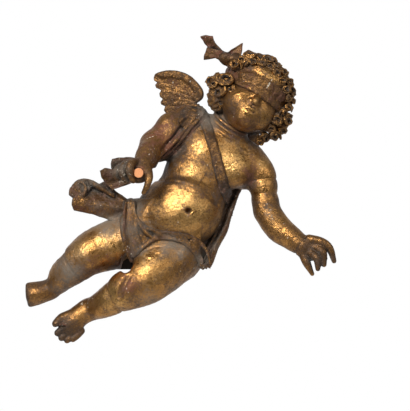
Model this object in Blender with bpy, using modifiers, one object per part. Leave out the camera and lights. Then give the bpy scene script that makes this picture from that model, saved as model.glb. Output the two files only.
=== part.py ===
"""A flying putto of carved, gessoed and gilded wood, hung on a wall by a bracket at its back.

The figure is carved in a block of space: each form is a distance field, forms melt into each other
with a rounded join, and the surface is where the field crosses nought. Places are given in carver's
units, with 370 of them from crown to toe: x to the viewer's right, y away from the viewer, z up.
"""

import bmesh
import bpy
import numpy as np
import openvdb
from mathutils import Matrix, Vector

# Driving dimensions, in metres
FIGURE_LENGTH = 0.650
BACK_TO_WALL = 0.098
BRACKET_WIDTH = 0.044
BRACKET_HEIGHT = 0.092
BRACKET_EDGE = 0.0015
DOWEL_DIAMETER = 0.0165
DOWEL_LENGTH = 0.036
DOWEL_PROUD = 0.006
DOWEL_EDGE = 0.0008
STRAP_WIDTH = 0.0135
CLOTH_THICKNESS = 0.0045
BAND_WIDTH = 0.029
BAND_THICKNESS = 0.0085
FEATHER_THICKNESS = 0.0085
GAP = 0.0003
GRAIN = 0.0032

UNITS_LONG = 370
UNIT = FIGURE_LENGTH / UNITS_LONG
STRAP = STRAP_WIDTH / UNIT
CLOTH = CLOTH_THICKNESS / UNIT
BAND = BAND_WIDTH / UNIT
BAND_THICK = BAND_THICKNESS / UNIT
FEATHER = FEATHER_THICKNESS / UNIT

# Faces kept on each carved piece
PUTTO_FACES = 7400
WING_FACES = 520
BOW_FACES = 460

BLOCK_LOW = (-186, -84, -132)
BLOCK_HIGH = (146, 62, 196)
FAR = 60.0


def unit(v):
    v = np.asarray(v, float)
    return v / np.linalg.norm(v)


def axes_of(up, front):
    """Three unit rows: to the viewer's right, front and up, square to each other, up kept as given."""
    up = unit(up)
    front = np.asarray(front, float)
    front = unit(front - (front @ up) * up)
    return np.array([np.cross(front, up), front, up])


def smooth_path(rows, steps):
    """A Catmull-Rom curve through the rows, with this many steps to each span."""
    rows = np.asarray(rows, float)
    ends = np.vstack([2 * rows[0] - rows[1], rows, 2 * rows[-1] - rows[-2]])
    t = np.linspace(0, 1, steps, endpoint=False)[None, :, None]
    a, b, c, d = ends[:-3, None], ends[1:-2, None], ends[2:-1, None], ends[3:, None]
    curve = 0.5 * (
        2 * b + (c - a) * t + (2 * a - 5 * b + 4 * c - d) * t**2 + (3 * b - a - 3 * c + d) * t**3
    )
    return np.vstack([curve.reshape(-1, rows.shape[1]), rows[-1:]])


def read_along(where, values):
    """Values given at each point of a path, read at fractional places along it."""
    return np.interp(where.ravel(), np.arange(len(values)), values).reshape(where.shape)


def side_frames(path, side):
    """At each point of a path, the side direction made square to the path, and the normal to both."""
    run = np.gradient(path, axis=0)
    run /= np.linalg.norm(run, axis=1, keepdims=True)
    side = side - (side * run).sum(1, keepdims=True) * run
    side /= np.linalg.norm(side, axis=1, keepdims=True)
    return side, np.cross(run, side)


def nearest(x, y, z, path):
    """The fractional place of the nearest point of a path, and the offset from it."""
    best = None
    for i in range(len(path) - 1):
        start, run = path[i], path[i + 1] - path[i]
        p = (x - start[0], y - start[1], z - start[2])
        t = np.clip(sum(a * b for a, b in zip(p, run)) / (run @ run + 1e-12), 0, 1)
        offset = [a - t * b for a, b in zip(p, run)]
        square = sum(o * o for o in offset)
        if best is None:
            best, where, kept = square, t + i, offset
            continue
        closer = square < best
        best = np.where(closer, square, best)
        where = np.where(closer, t + i, where)
        kept = [np.where(closer, new, old) for new, old in zip(offset, kept)]
    return where, kept, best


def egg(centre, radii, axes=None):
    """An ellipsoid: with p the place over the radii, its distance is about |p|(|p| - 1) / |p / radii|."""
    centre, radii = np.asarray(centre, float), np.asarray(radii, float)
    rows = np.eye(3) if axes is None else np.asarray(axes)
    reach = np.sqrt(((rows * radii[:, None]) ** 2).sum(0))

    def distance(x, y, z):
        p = (x - centre[0], y - centre[1], z - centre[2])
        local = [sum(a * b for a, b in zip(p, row)) for row in rows]
        near = np.sqrt(sum((a / r) ** 2 for a, r in zip(local, radii)))
        slope = np.sqrt(sum((a / r**2) ** 2 for a, r in zip(local, radii))) + 1e-9
        return near * (near - 1) / slope

    return centre - reach, centre + reach, distance


def limb(points, radii, steps=4):
    """A ball of changing radius carried along a smooth path."""
    fine = smooth_path(np.column_stack([points, radii]), steps)
    path, radius = fine[:, :3], fine[:, 3]

    def distance(x, y, z):
        best = FAR
        for i in range(len(path) - 1):
            start, run = path[i], path[i + 1] - path[i]
            p = (x - start[0], y - start[1], z - start[2])
            t = np.clip(sum(a * b for a, b in zip(p, run)) / (run @ run + 1e-12), 0, 1)
            square = sum((a - t * b) ** 2 for a, b in zip(p, run))
            best = np.minimum(best, np.sqrt(square) - radius[i] - t * (radius[i + 1] - radius[i]))
        return best

    return (path - radius[:, None]).min(0), (path + radius[:, None]).max(0), distance


def strip(points, halves, side, thick, folds=None, steps=5):
    """A strip of cloth along a smooth path: u runs -1 to 1 across it and s 0 to 1 along it, and folds(u, s)
    lifts its middle surface along the normal."""
    fine = smooth_path(np.column_stack([points, halves]), steps)
    path, half = fine[:, :3], fine[:, 3]
    sides, normals = side_frames(path, np.asarray(side, float))
    lift = 0.0
    if folds:
        lift = np.abs(folds(*np.meshgrid(np.linspace(-1, 1, 41), np.linspace(0, 1, 41)))).max()

    def distance(x, y, z):
        where, offset, square = nearest(x, y, z, path)
        u = sum(o * read_along(where, sides[:, k]) for k, o in enumerate(offset))
        v = sum(o * read_along(where, normals[:, k]) for k, o in enumerate(offset))
        past = np.sqrt(np.maximum(square - u * u - v * v, 0))
        wide = read_along(where, half)
        if folds:
            u_share, s_share = np.clip(u / wide, -1, 1), where / (len(path) - 1)
            slope = (folds(u_share + 0.01, s_share) - folds(u_share - 0.01, s_share)) / (0.02 * wide)
            v = (v - folds(u_share, s_share)) / np.sqrt(1 + slope**2)
        across = np.abs(u) - wide + 0.3 * thick
        deep = np.abs(v) - 0.2 * thick
        outside = np.sqrt(np.maximum(across, 0) ** 2 + np.maximum(deep, 0) ** 2 + past**2)
        return outside + np.minimum(np.maximum(across, deep), 0) - 0.3 * thick

    reach = np.hypot(half, thick + lift)[:, None]
    return (path - reach).min(0), (path + reach).max(0), distance


def melt(a, b, k):
    """The smaller of two distances, with a join rounded over a width k."""
    if k == 0:
        return np.minimum(a, b)
    near = np.maximum(k - np.abs(a - b), 0) / k
    return np.minimum(a, b) - near * near * k / 4


def outline_distance(x, z, corners):
    """In the front view, the distance to a closed outline, negative inside."""
    corners = np.asarray(corners, float)
    best = np.full(x.shape, FAR**2)
    inside = np.zeros(x.shape, bool)
    for a, b in zip(corners, np.roll(corners, -1, 0)):
        run = b - a
        t = np.clip(((x - a[0]) * run[0] + (z - a[1]) * run[1]) / (run @ run), 0, 1)
        best = np.minimum(best, (x - a[0] - t * run[0]) ** 2 + (z - a[1] - t * run[1]) ** 2)
        spans = (a[1] > z) != (b[1] > z)
        inside ^= spans & (x - a[0] < (z - a[1]) * run[0] / (run[1] or 1))
    return np.where(inside, -1, 1) * np.sqrt(best)


def band_distance(x, z, points, half):
    """In the front view, the distance to a band of this half width along a line."""
    points = np.asarray(points, float)
    best = FAR
    for a, b in zip(points, points[1:]):
        run = b - a
        t = np.clip(((x - a[0]) * run[0] + (z - a[1]) * run[1]) / (run @ run), 0, 1)
        best = np.minimum(best, np.hypot(x - a[0] - t * run[0], z - a[1] - t * run[1]))
    return best - half


class Clay:
    """A block of space in small cubes, each with its distance to the carved surface."""

    def __init__(self, step):
        self.step = step
        size = (np.subtract(BLOCK_HIGH, BLOCK_LOW) / step).astype(int) + 1
        self.axes = [low + step * np.arange(n) for low, n in zip(BLOCK_LOW, size)]
        self.field = np.full(size, FAR)

    def mix(self, form, k, rule):
        low, high, distance = form
        reach = k + 3 * self.step
        spans = [
            slice(*np.searchsorted(axis, (a - reach, b + reach))) for axis, a, b in zip(self.axes, low, high)
        ]
        x, y, z = np.meshgrid(*(axis[span] for axis, span in zip(self.axes, spans)), indexing="ij")
        self.field[tuple(spans)] = rule(self.field[tuple(spans)], distance(x, y, z))

    def add(self, form, k=0.0):
        self.mix(form, k, lambda old, new: melt(old, new, k))

    def cut(self, form, k=0.0):
        self.mix(form, k, lambda old, new: -melt(-old, new, k))

    def lay(self, body, edge, thick, back=FAR, k=0.6):
        """Cloth on the body: the body's distance less a thickness, kept inside an outline of the front view."""
        x, z = np.meshgrid(self.axes[0], self.axes[2], indexing="ij")
        rim = edge(x, z)
        skin = body.field - thick(x, z, rim)[:, None, :]
        cloth = -melt(-skin, np.broadcast_to(-rim[:, None, :], skin.shape), 2.0)
        cloth = np.maximum(cloth, (self.axes[1] - back)[None, :, None])
        self.field = melt(self.field, cloth, k)


# The parts of the figure

TORSO = axes_of((0.56, 0.0, 0.83), (0, -1, 0))
HEAD = axes_of((0.47, 0.21, 0.86), (0.20, -0.95, 0.12))
HEAD_CENTRE = np.array([55.5, -4.0, 122.5])


def on_head(right, front, up):
    return HEAD_CENTRE + np.array([right, front, up]) @ HEAD


def carve_trunk(clay):
    clay.add(egg((-43, 3, -18), (46, 29, 32), TORSO))
    clay.add(egg((-16, -3, 11), (38, 33, 38), TORSO), 18)
    clay.add(egg((6, 1, 53), (34, 26, 38), TORSO), 20)
    clay.add(limb([(-6, 3, 93), (19, 4, 80), (47, 3, 61)], [17, 21, 16]), 14)
    for breast in ((-3, -17, 68), (28, -17, 50)):
        clay.add(egg(breast, (15, 10, 13), TORSO), 10)
    for buttock in ((-62, 18, -16), (-31, 18, -36)):
        clay.add(egg(buttock, (25, 24, 28), TORSO), 12)
    clay.add(limb([(22, 4, 82), (36, -2, 104)], [18, 16]), 9)


def carve_legs(clay):
    clay.add(limb([(-58, 4, -15), (-78, -4, -23), (-98, -9, -32)], [28, 24, 20]), 10)
    clay.add(limb([(-98, -9, -32), (-118, -9, -43)], [20, 15.5]), 6)
    clay.add(limb([(-117, -8, -43), (-133, 2, -56), (-151, 14, -69)], [15.5, 14.5, 8.8]), 5)
    clay.add(limb([(-26, 2, -35), (-45, -14, -51), (-61, -22, -61)], [29, 28, 24]), 10)
    clay.add(limb([(-61, -22, -61), (-76, -26, -71)], [24, 18.5]), 6)
    clay.add(limb([(-74, -24, -69), (-94, -15, -81), (-113, -5, -90)], [17.5, 16, 10.5]), 5)


def carve_feet(clay):
    """The right foot ends in a straight worn edge, and the left one has its toes."""
    clay.add(limb([(-150, 14, -69), (-158, 13, -71)], [9, 9]), 4)
    clay.add(
        strip([(-152, 14, -69), (-163, 13, -72), (-171, 12, -74.5)], [8, 10, 13], (-0.25, 0, 1), 13.0), 4
    )
    clay.add(limb([(-112, -5, -88), (-121, -9, -96), (-131, -12, -106)], [10, 11, 11.5]), 4)
    clay.add(egg((-131, -13, -106), (15, 8, 11), axes_of((-0.75, 0, -0.66), (0, -1, 0))), 4)
    clay.add(limb([(-130, -14, -96), (-138, -17, -99), (-142, -20, -102)], [5.6, 5.2, 4.4]), 3)
    for i, (x, z) in enumerate([(-140.5, -111.5), (-137.5, -116.5), (-132.5, -119), (-126.5, -118)]):
        thick = 3.9 - 0.25 * i
        toe = [(x + 8, -13, z + 8), (x + 3, -17, z + 2.5), (x, -18, z)]
        clay.add(limb(toe, [thick + 0.6, thick, 0.9 * thick]), 1.5)


def carve_left_arm(clay):
    clay.add(limb([(48, 4, 59), (61, -2, 48), (64, -5, 30), (66, -7, 10)], [15.5, 14.5, 13, 13]), 8)
    clay.add(limb([(66, -7, 9), (78, -13, -8), (98, -20, -23)], [13, 13, 9.5]), 5)
    clay.add(egg((109, -22, -28), (12.5, 7.5, 12), axes_of((-0.6, 0, 0.8), (0, -1, 0))), 4)
    for points, radii in (
        ([(108, -25, -20), (119, -27, -22), (128, -27, -28), (132, -25, -40)], [4.2, 3.8, 3.4, 2.4]),
        ([(114, -26, -27), (121, -30, -33), (121.5, -28, -44)], [4.0, 3.6, 2.6]),
        ([(109, -26, -32), (116, -31, -38), (116, -28, -47)], [4.0, 3.6, 2.6]),
        ([(102, -22, -34), (106, -27, -41), (110.5, -26, -52)], [4.2, 3.5, 2.4]),
        ([(112, -16, -24), (121, -15, -29), (124, -16, -38)], [3.6, 3.3, 2.4]),
    ):
        clay.add(limb(points, radii), 1.6)


def carve_right_arm(clay):
    clay.add(limb([(-11, 2, 96), (-28, -4, 88), (-48, -14, 76)], [18.5, 18, 15]), 8)
    clay.add(limb([(-48, -14, 76), (-52, -28, 67), (-56, -44, 54)], [15, 13.5, 9.5]), 6)
    clay.add(egg(DOWEL_AT, (11.5, 9, 10)), 4)
    for points, radii in (
        ([(-62, -50, 57), (-67, -60, 55), (-68, -63, 47), (-65, -57, 39)], [3.9, 3.9, 3.7, 3.0]),
        ([(-67, -46, 57), (-74, -55, 54), (-75.5, -58, 46), (-72, -52, 40)], [3.8, 3.8, 3.6, 3.0]),
        ([(-72, -43, 54), (-80, -51, 50), (-82.5, -52, 45), (-80, -47, 41)], [3.6, 3.5, 3.3, 2.8]),
        ([(-52, -48, 52), (-48.5, -57, 42), (-49.5, -59, 34), (-54.5, -57, 26)], [4.6, 4.0, 3.5, 2.8]),
    ):
        clay.add(limb(points, radii), 1.6)


def carve_head(clay):
    """A child's head by the usual proportions: full cheeks, small chin, nose and mouth, eyes under the band."""
    clay.add(egg(on_head(0, -4, 7), (33, 36, 33), HEAD), 3)
    clay.add(egg(on_head(0, 8, -17), (24, 23, 20), HEAD), 14)
    for side in (-1, 1):
        clay.add(egg(on_head(13 * side, 17, -15), (14, 13, 14), HEAD), 8)
    clay.add(egg(on_head(0, 27, -31), (8, 7, 7), HEAD), 7)
    clay.add(egg(on_head(0, 16, -36), (13, 9, 5), HEAD), 4)
    clay.add(egg(on_head(0, 20, 20), (24, 16, 16), HEAD), 8)
    clay.add(limb([on_head(0, 32, 6), on_head(0, 35.5, -3), on_head(0, 38, -8)], [3.5, 3.6, 4.0]), 4)
    clay.add(egg(on_head(0, 31.5, -20), (8, 5, 6), HEAD), 5)
    clay.add(limb([on_head(-6.5, 33, -20), on_head(0, 36.3, -19), on_head(6.5, 33, -20)], [1.2, 2.2, 1.2]), 1.5)
    clay.add(limb([on_head(-5.5, 33, -23), on_head(0, 35.8, -24), on_head(5.5, 33, -23)], [1.2, 2.4, 1.2]), 1.5)


def carve_body(clay):
    carve_trunk(clay)
    carve_legs(clay)
    carve_feet(clay)
    carve_left_arm(clay)
    carve_right_arm(clay)
    carve_head(clay)


def carve_blindfold(clay):
    """A ring of cloth round the head, over the eyes."""
    turn = np.linspace(0, 2 * np.pi, 29)
    ring = [on_head(35 * np.sin(a), -3.5 + 37.5 * np.cos(a), 8) for a in turn]
    clay.add(strip(ring, [BAND / 2] * len(ring), HEAD[2], BAND_THICK, steps=1), 0.5)


def carve_hair(clay):
    """A cap of hair with a knob for each curl, clear of the face and of the forehead above the band."""
    clay.add(egg(on_head(0, -8, 12), (36, 37, 34), HEAD))
    clay.add(egg(on_head(0, -12, -8), (37, 30, 28), HEAD), 8)
    clay.cut(egg(on_head(0, 42, -15), (29, 34, 26), HEAD), 3)
    clay.cut(egg(on_head(0, 37, 24), (27, 16, 9), HEAD), 3)
    count = 64
    golden_turn = np.pi * (3 - np.sqrt(5))
    for i in range(count):
        up = 1 - 2 * (i + 0.5) / count
        flat = np.sqrt(1 - up * up)
        right, front = flat * np.cos(golden_turn * i), flat * np.sin(golden_turn * i)
        on_face = front > 0.35 and up < 0.70 and abs(right) < 0.85
        under_band = abs(up) < 0.20 and front > -0.2
        if up > -0.62 and not on_face and not under_band:
            clay.add(egg(on_head(34.5 * right, -8 + 37 * front, 9 + 34.5 * up), (6, 6, 6)), 1.0)
    clay.add(egg((23, -8, 122), (12, 14, 24)), 4)
    clay.add(egg((74, -4, 98), (13, 14, 13)), 4)
    for x, y, z, radius in SIDE_CURLS:
        clay.add(egg((x, y, z), (radius, radius, radius)), 2.0)


SIDE_CURLS = (
    (15, -20, 141, 8.0),
    (22, -24, 127, 8.5),
    (13, -16, 124, 8.0),
    (13, -12, 112, 8.0),
    (19, -12, 105, 6.5),
    (32, -27, 147, 7.0),
    (86, -12, 101, 8.0),
    (76, -22, 104, 7.5),
    (80, -6, 92, 7.5),
    (70, -14, 90, 7.0),
    (63, -12, 84, 6.5),
)


def front_view(points):
    """Rows of x, z and depth towards the viewer, as x, y and z."""
    return [(x, -depth, z) for x, z, depth in points]


HIP_CLOTH = (
    (-72, 22), (-67, 6), (-57, -7), (-42, -13), (-24, -12), (-8, -16), (5, -23), (14, -36), (10, -48), (3, -50),
    (-3, -38), (-13, -27), (-30, -21), (-48, -25), (-61, -36), (-68, -49), (-76, -46), (-82, -30), (-83, 0), (-81, 17),
)
STRAP_LINE = ((-2, 114), (7, 95), (13, 75), (19, 52), (25, 30), (30, 12))


def carve_drapery(clay, body):
    """The strap across the chest, the cloth round the hips and over the right shoulder, and the flying ends."""
    clay.lay(body, lambda x, z: band_distance(x, z, STRAP_LINE, STRAP / 2), lambda x, z, rim: CLOTH + 0 * x, 0)

    def hip_folds(x, z, rim):
        turn = np.arctan2(z - 22, x + 72)
        hem = np.exp(-(((rim + 2.5) / 2.2) ** 2))
        return CLOTH * (1.6 + 0.6 * np.sin(11 * turn + 0.5) + 0.6 * hem)

    clay.lay(body, lambda x, z: outline_distance(x, z, HIP_CLOTH), hip_folds, 30)
    for i, (top, x, low) in enumerate([(-77, -81, -42), (-73, -75, -48), (-68, -69, -48)]):
        gather = [(-72 + 1.5 * i, 20, 22), (top, -2, 28), (x, -25, 28), (x + 1, low, 22)]
        clay.add(limb(front_view(gather), [3.0, 3.2, 3.6, 3.2]), 1.5)

    def zigzag(u, s):
        return (2.5 + 3.0 * s) * np.sin(5.2 * u + 0.6) + 2 * np.sin(2.2 * u)

    end = [(-66, 12, 14), (-82, 14, 16), (-102, 21, 12), (-123, 27, 6)]
    clay.add(strip(front_view(end), [8, 11, 14, 15], (-0.15, 0.15, 1), CLOTH, zigzag), 1)
    roll = [(-86, 22, 16), (-102, 32, 13), (-117, 37, 9), (-127, 32, 6), (-124, 26, 4)]
    clay.add(limb(front_view(roll), [2.5, 4.5, 5.5, 4.5, 4.0]), 2)
    shoulder = [(4, 26, 84), (-4, 16, 108), (-7, -6, 114), (-8, -19, 100), (-16, -24, 84), (-30, -20, 66), (-46, -6, 55)]
    clay.add(
        strip(shoulder, [10, 13, 14, 12, 9, 7, 6], (0.75, 0, 0.55), CLOTH, lambda u, s: 1.5 * np.sin(7.5 * u + 2 * s)), 1
    )
    upper_flap = [(-40, 62, -2), (-52, 57, 10), (-68, 55, 18), (-88, 53, 20)]
    clay.add(strip(front_view(upper_flap), [6, 8, 9, 8], (0.1, 0.1, 1), CLOTH, lambda u, s: 2 * np.sin(4.5 * u + 2)), 1)
    lower_flap = [(-66, 44, 22), (-82, 41, 24), (-99, 47, 22)]
    clay.add(strip(front_view(lower_flap), [7, 9, 6], (0.3, 0.1, 1), CLOTH, lambda u, s: 2 * np.sin(3.5 * u)), 1)
    mantle = [(44, 46, -14), (35, 28, -9), (28, 8, -4), (20, -16, 1), (10, -36, 8), (2, -47, 14)]
    clay.add(
        strip(front_view(mantle), [12, 12, 11, 9, 7, 5], (0.3, -0.95, 0), CLOTH, lambda u, s: 1.2 * np.sin(6 * u)), 1
    )


def carve_wing(clay, root, out, rise):
    """A small fan wing: a thick rounded leading edge and six blades whose tips scallop the far side."""
    root, out, rise = np.asarray(root, float), unit(out), unit(rise)

    def place(a, b, lift=0.0):
        return root + a * out + b * rise + lift * np.cross(out, rise)

    lead = [(2, 0), (-6, 12), (-10, 27), (-2, 40), (12, 45), (30, 44)]
    clay.add(limb([place(a, b) for a, b in lead], [5.0, 5.5, 5.5, 5, 4.5, 3.5]), 2)
    tips = [(36, 40), (36, 29), (31, 20), (29, 11), (25, 4), (16, 0)]
    starts = [(-4, 33), (-6, 27), (-6, 20), (-5, 13), (-3, 7), (-1, 2)]
    for tip, start in zip(tips, starts):
        middle = [(a + b) / 2 for a, b in zip(start, tip)]
        blade = [place(*start), place(middle[0], middle[1] + 1.5, 1.5), place(*tip)]
        clay.add(strip(blade, [5.5, 6.5, 5.0], rise, FEATHER, lambda u, s: 1.3 * (1 - u * u)), 0.8)


def carve_bow(clay):
    """The band's knot on the hair, with a loop to each side and a flared end above."""
    clay.add(egg((22, -17, 160), (6.5, 5.5, 6)))
    for points, halves, side in (
        ([(22, 160, 16), (14, 168, 17), (8, 178, 14), (6.5, 183, 13)], [3, 4, 5.5, 7], (1, 0.2, 0)),
        ([(21, 158, 16), (13, 164, 20), (4, 165, 16)], [3.5, 6, 7.5], (0, 0.3, 1)),
        ([(22, 159, 16), (31, 164, 20), (41, 169, 16)], [3.5, 5.5, 7.5], (0.15, 0.3, 1)),
    ):
        clay.add(strip(front_view(points), halves, side, CLOTH, lambda u, s: 1.2 * np.sin(3.5 * u + 1)), 1)
    clay.add(limb(front_view([(22, 159, 16), (30, 154, 18), (37, 151, 21)]), [5, 5, 5]), 2)


# From the clay to solids

DOWEL_AT = np.array([-59.6, -50.0, 46.2])
RIGHT_WING = ((-10, 25, 104), (-1, 0.25, 0), (0, 0, 1))
LEFT_WING = ((33, 21, 66), (0.72, 0.42, -0.1), (0.0, 0.28, 0.95))


def to_world(place):
    """A place in carver's units, as metres in front of the wall."""
    x, y, z = (float(a) * UNIT for a in place)
    return Vector((x, y - BACK_TO_WALL, z)) - BRACKET_OFFSET


BRACKET_CENTRE = np.array([-79.0, 26.0, -24.0])
BRACKET_OFFSET = Vector((BRACKET_CENTRE[0] * UNIT, 0.0, BRACKET_CENTRE[2] * UNIT))


def collection_named(name):
    collection = bpy.data.collections.new(name)
    bpy.context.scene.collection.children.link(collection)
    return collection


def material_of(name, colour, roughness, metallic):
    material = bpy.data.materials.new(name)
    material.use_nodes = True
    shader = material.node_tree.nodes["Principled BSDF"]
    shader.inputs["Base Color"].default_value = (*colour, 1)
    shader.inputs["Roughness"].default_value = roughness
    shader.inputs["Metallic"].default_value = metallic
    return material


def object_from(bm, name, collection, material=None):
    mesh = bpy.data.meshes.new(name)
    bm.to_mesh(mesh)
    bm.free()
    if material:
        mesh.materials.append(material)
    obj = bpy.data.objects.new(name, mesh)
    collection.objects.link(obj)
    return obj


def keep_largest_body(bm):
    """Crumbs that the carving cuts loose are swept away."""
    bodies = []
    left = set(bm.verts)
    while left:
        found, edge = set(), [next(iter(left))]
        while edge:
            vert = edge.pop()
            if vert not in found:
                found.add(vert)
                edge.extend(e.other_vert(vert) for e in vert.link_edges)
        left -= found
        bodies.append(found)
    bodies.sort(key=len)
    bmesh.ops.delete(bm, geom=[v for body in bodies[:-1] for v in body], context="VERTS")


def carved_object(clay, name, collection, faces, material=None):
    """The surface where the clay's field crosses nought, smoothed and then thinned to a number of faces."""
    grid = openvdb.FloatGrid(FAR)
    grid.copyFromArray(clay.field.astype(np.float32))
    points, quads = grid.convertToQuads()
    mesh = bpy.data.meshes.new(name)
    mesh.from_pydata([to_world(np.add(BLOCK_LOW, p * clay.step)) for p in points], [], quads.tolist())
    bm = bmesh.new()
    bm.from_mesh(mesh)
    bpy.data.meshes.remove(mesh)
    keep_largest_body(bm)
    bmesh.ops.recalc_face_normals(bm, faces=bm.faces)
    triangles = 2 * len(bm.faces)
    obj = object_from(bm, name, collection, material)
    smooth = obj.modifiers.new("Smooth", "SMOOTH")
    smooth.iterations = 2
    thin = obj.modifiers.new("Decimate", "DECIMATE")
    thin.ratio = faces / triangles
    keep_as_mesh(obj)
    return obj


def keep_as_mesh(obj):
    """The mesh as the modifiers leave it. Where thinning has pinched it to an edge that four faces share,
    that edge is drawn in to a point."""
    graph = bpy.context.evaluated_depsgraph_get()
    mesh = bpy.data.meshes.new_from_object(obj.evaluated_get(graph))
    bm = bmesh.new()
    bm.from_mesh(mesh)
    bmesh.ops.collapse(bm, edges=[edge for edge in bm.edges if not edge.is_manifold])
    bm.to_mesh(mesh)
    bm.free()
    obj.modifiers.clear()
    obj.data = mesh


def subtract(obj, cutter, name):
    boolean = obj.modifiers.new(name, "BOOLEAN")
    boolean.operation = "DIFFERENCE"
    boolean.object = cutter


def fit_to(obj, clear, putto):
    """Cut a loose piece to the figure with a gap, and in the tightest creases to the figure itself."""
    subtract(obj, clear, "Gap to the figure")
    subtract(obj, putto, "Fit to the figure")


def as_cutter(obj):
    obj.hide_render = True
    obj.display_type = "WIRE"
    return obj


def box(name, low, high, collection, material=None):
    """A box by its two corners."""
    low, high = Vector(low), Vector(high)
    bm = bmesh.new()
    bmesh.ops.create_cube(bm, size=1, matrix=Matrix.Translation((low + high) / 2) @ Matrix.Diagonal((*(high - low), 1)))
    return object_from(bm, name, collection, material)


def rod(name, start, end, diameter, collection, material=None):
    """A round bar along y, from one end to the other."""
    start, end = Vector(start), Vector(end)
    bm = bmesh.new()
    place = Matrix.Translation((start + end) / 2) @ Matrix.Rotation(np.pi / 2, 4, "X")
    bmesh.ops.create_cone(
        bm,
        cap_ends=True,
        segments=24,
        radius1=diameter / 2,
        radius2=diameter / 2,
        depth=(end - start).length,
        matrix=place,
    )
    return object_from(bm, name, collection, material)


def soften(obj, width):
    bevel = obj.modifiers.new("Bevel", "BEVEL")
    bevel.width = width
    bevel.segments = 2


def main():
    for obj in list(bpy.data.objects):
        bpy.data.objects.remove(obj)
    parts = collection_named("flying_putto")
    cutters = collection_named("cutters")
    gilt = material_of("gilt_wood", (0.46, 0.28, 0.08), 0.35, 0.9)
    dark_gilt = material_of("dark_gilt_wood", (0.30, 0.19, 0.08), 0.45, 0.8)
    bare_wood = material_of("fresh_dowel_wood", (0.80, 0.42, 0.22), 0.7, 0.0)
    black = material_of("black_paint", (0.02, 0.02, 0.02), 0.6, 0.0)

    step = GRAIN / UNIT
    figure = Clay(step)
    carve_body(figure)
    cloth = Clay(step)
    carve_drapery(cloth, figure)
    carve_blindfold(cloth)
    locks = Clay(step)
    carve_hair(locks)
    figure.field = melt(melt(figure.field, cloth.field, 0.5), locks.field, 0.5)
    putto = carved_object(figure, "putto", parts, PUTTO_FACES, gilt)

    depth = DOWEL_LENGTH - DOWEL_PROUD
    mouth = to_world(DOWEL_AT + (0, -9, 0))
    bore = rod(
        "dowel_bore", mouth + Vector((0, -0.05, 0)), mouth + Vector((0, depth + GAP, 0)), DOWEL_DIAMETER + 2 * GAP, cutters
    )
    subtract(putto, as_cutter(bore), "Dowel bore")
    dowel = rod(
        "hand_dowel", mouth + Vector((0, -DOWEL_PROUD, 0)), mouth + Vector((0, depth, 0)), DOWEL_DIAMETER, parts, bare_wood
    )
    soften(dowel, DOWEL_EDGE)

    half, tall = BRACKET_WIDTH / 2, BRACKET_HEIGHT / 2
    front = to_world(BRACKET_CENTRE).y
    seat = box("bracket_seat", (-half - GAP, front - GAP, -tall - GAP), (half + GAP, 0.05, tall + GAP), cutters)
    subtract(putto, as_cutter(seat), "Bracket seat")
    bracket = box("wall_bracket", (-half, front, -tall), (half, 0, tall), parts, black)
    soften(bracket, BRACKET_EDGE)

    clear = as_cutter(bpy.data.objects.new("putto_with_gap", putto.data.copy()))
    cutters.objects.link(clear)
    swell = clear.modifiers.new("Gap", "DISPLACE")
    swell.strength = 3 * GAP
    swell.mid_level = 0
    for name, (root, out, rise) in (("right_wing", RIGHT_WING), ("left_wing", LEFT_WING)):
        block = Clay(step)
        carve_wing(block, root, out, rise)
        wing = carved_object(block, name, parts, WING_FACES, dark_gilt)
        fit_to(wing, clear, putto)
    block = Clay(step)
    carve_bow(block)
    bow = carved_object(block, "blindfold_bow", parts, BOW_FACES, dark_gilt)
    fit_to(bow, clear, putto)


main()
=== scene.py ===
"""The flying putto's finish: its skin, hair, cloth, wings and bow carved fine, and worn gilding over them.

The figure is carved as the solids are: forms are distance fields in a block of space, they melt into
each other with a rounded join, and the surface lies where the field crosses nought. Places are in
carver's units, 370 from crown to toe: x to the viewer's right, y away from the viewer, z up.
"""

import bpy
import numpy as np
import openvdb
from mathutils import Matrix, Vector


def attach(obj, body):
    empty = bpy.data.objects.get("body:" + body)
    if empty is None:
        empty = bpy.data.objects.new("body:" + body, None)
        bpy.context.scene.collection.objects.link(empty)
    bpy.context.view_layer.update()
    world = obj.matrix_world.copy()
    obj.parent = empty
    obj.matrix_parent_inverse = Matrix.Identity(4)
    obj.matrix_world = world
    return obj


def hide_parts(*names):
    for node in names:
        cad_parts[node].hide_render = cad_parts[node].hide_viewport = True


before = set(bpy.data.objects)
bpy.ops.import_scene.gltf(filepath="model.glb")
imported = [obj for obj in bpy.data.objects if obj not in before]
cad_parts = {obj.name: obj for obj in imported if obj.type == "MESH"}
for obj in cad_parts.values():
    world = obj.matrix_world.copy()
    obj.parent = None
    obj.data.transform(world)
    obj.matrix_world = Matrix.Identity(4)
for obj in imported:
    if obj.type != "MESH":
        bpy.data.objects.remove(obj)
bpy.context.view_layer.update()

FIGURE_LENGTH = 0.650
BACK_TO_WALL = 0.098
STRAP_WIDTH = 0.0135
CLOTH_THICKNESS = 0.0045
BAND_WIDTH = 0.029
BAND_THICKNESS = 0.0085
FEATHER_THICKNESS = 0.0085

UNITS_LONG = 370
UNIT = FIGURE_LENGTH / UNITS_LONG
STRAP = STRAP_WIDTH / UNIT
CLOTH = CLOTH_THICKNESS / UNIT
BAND = BAND_WIDTH / UNIT
BAND_THICK = BAND_THICKNESS / UNIT
FEATHER = FEATHER_THICKNESS / UNIT
BRACKET_AT = np.array([-79.0, 0.0, -24.0])
TO_WALL = BACK_TO_WALL / UNIT

# Grain of the carving in carver's units, for the eye and for the shade in hollows
SKIN_GRAIN = 0.85
HEAD_GRAIN = 0.55
WING_GRAIN = 0.55
SHADE_GRAIN = 1.7
FAR = np.float32(60.0)
BLOCK = ((-186, -84, -132), (146, 62, 196))
HEAD_BLOCK = ((4, -64, 70), (110, 52, 178))
MOST_TRIANGLES = 165000


# Carving


def unit(v):
    v = np.asarray(v, float)
    return v / np.linalg.norm(v)


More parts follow.
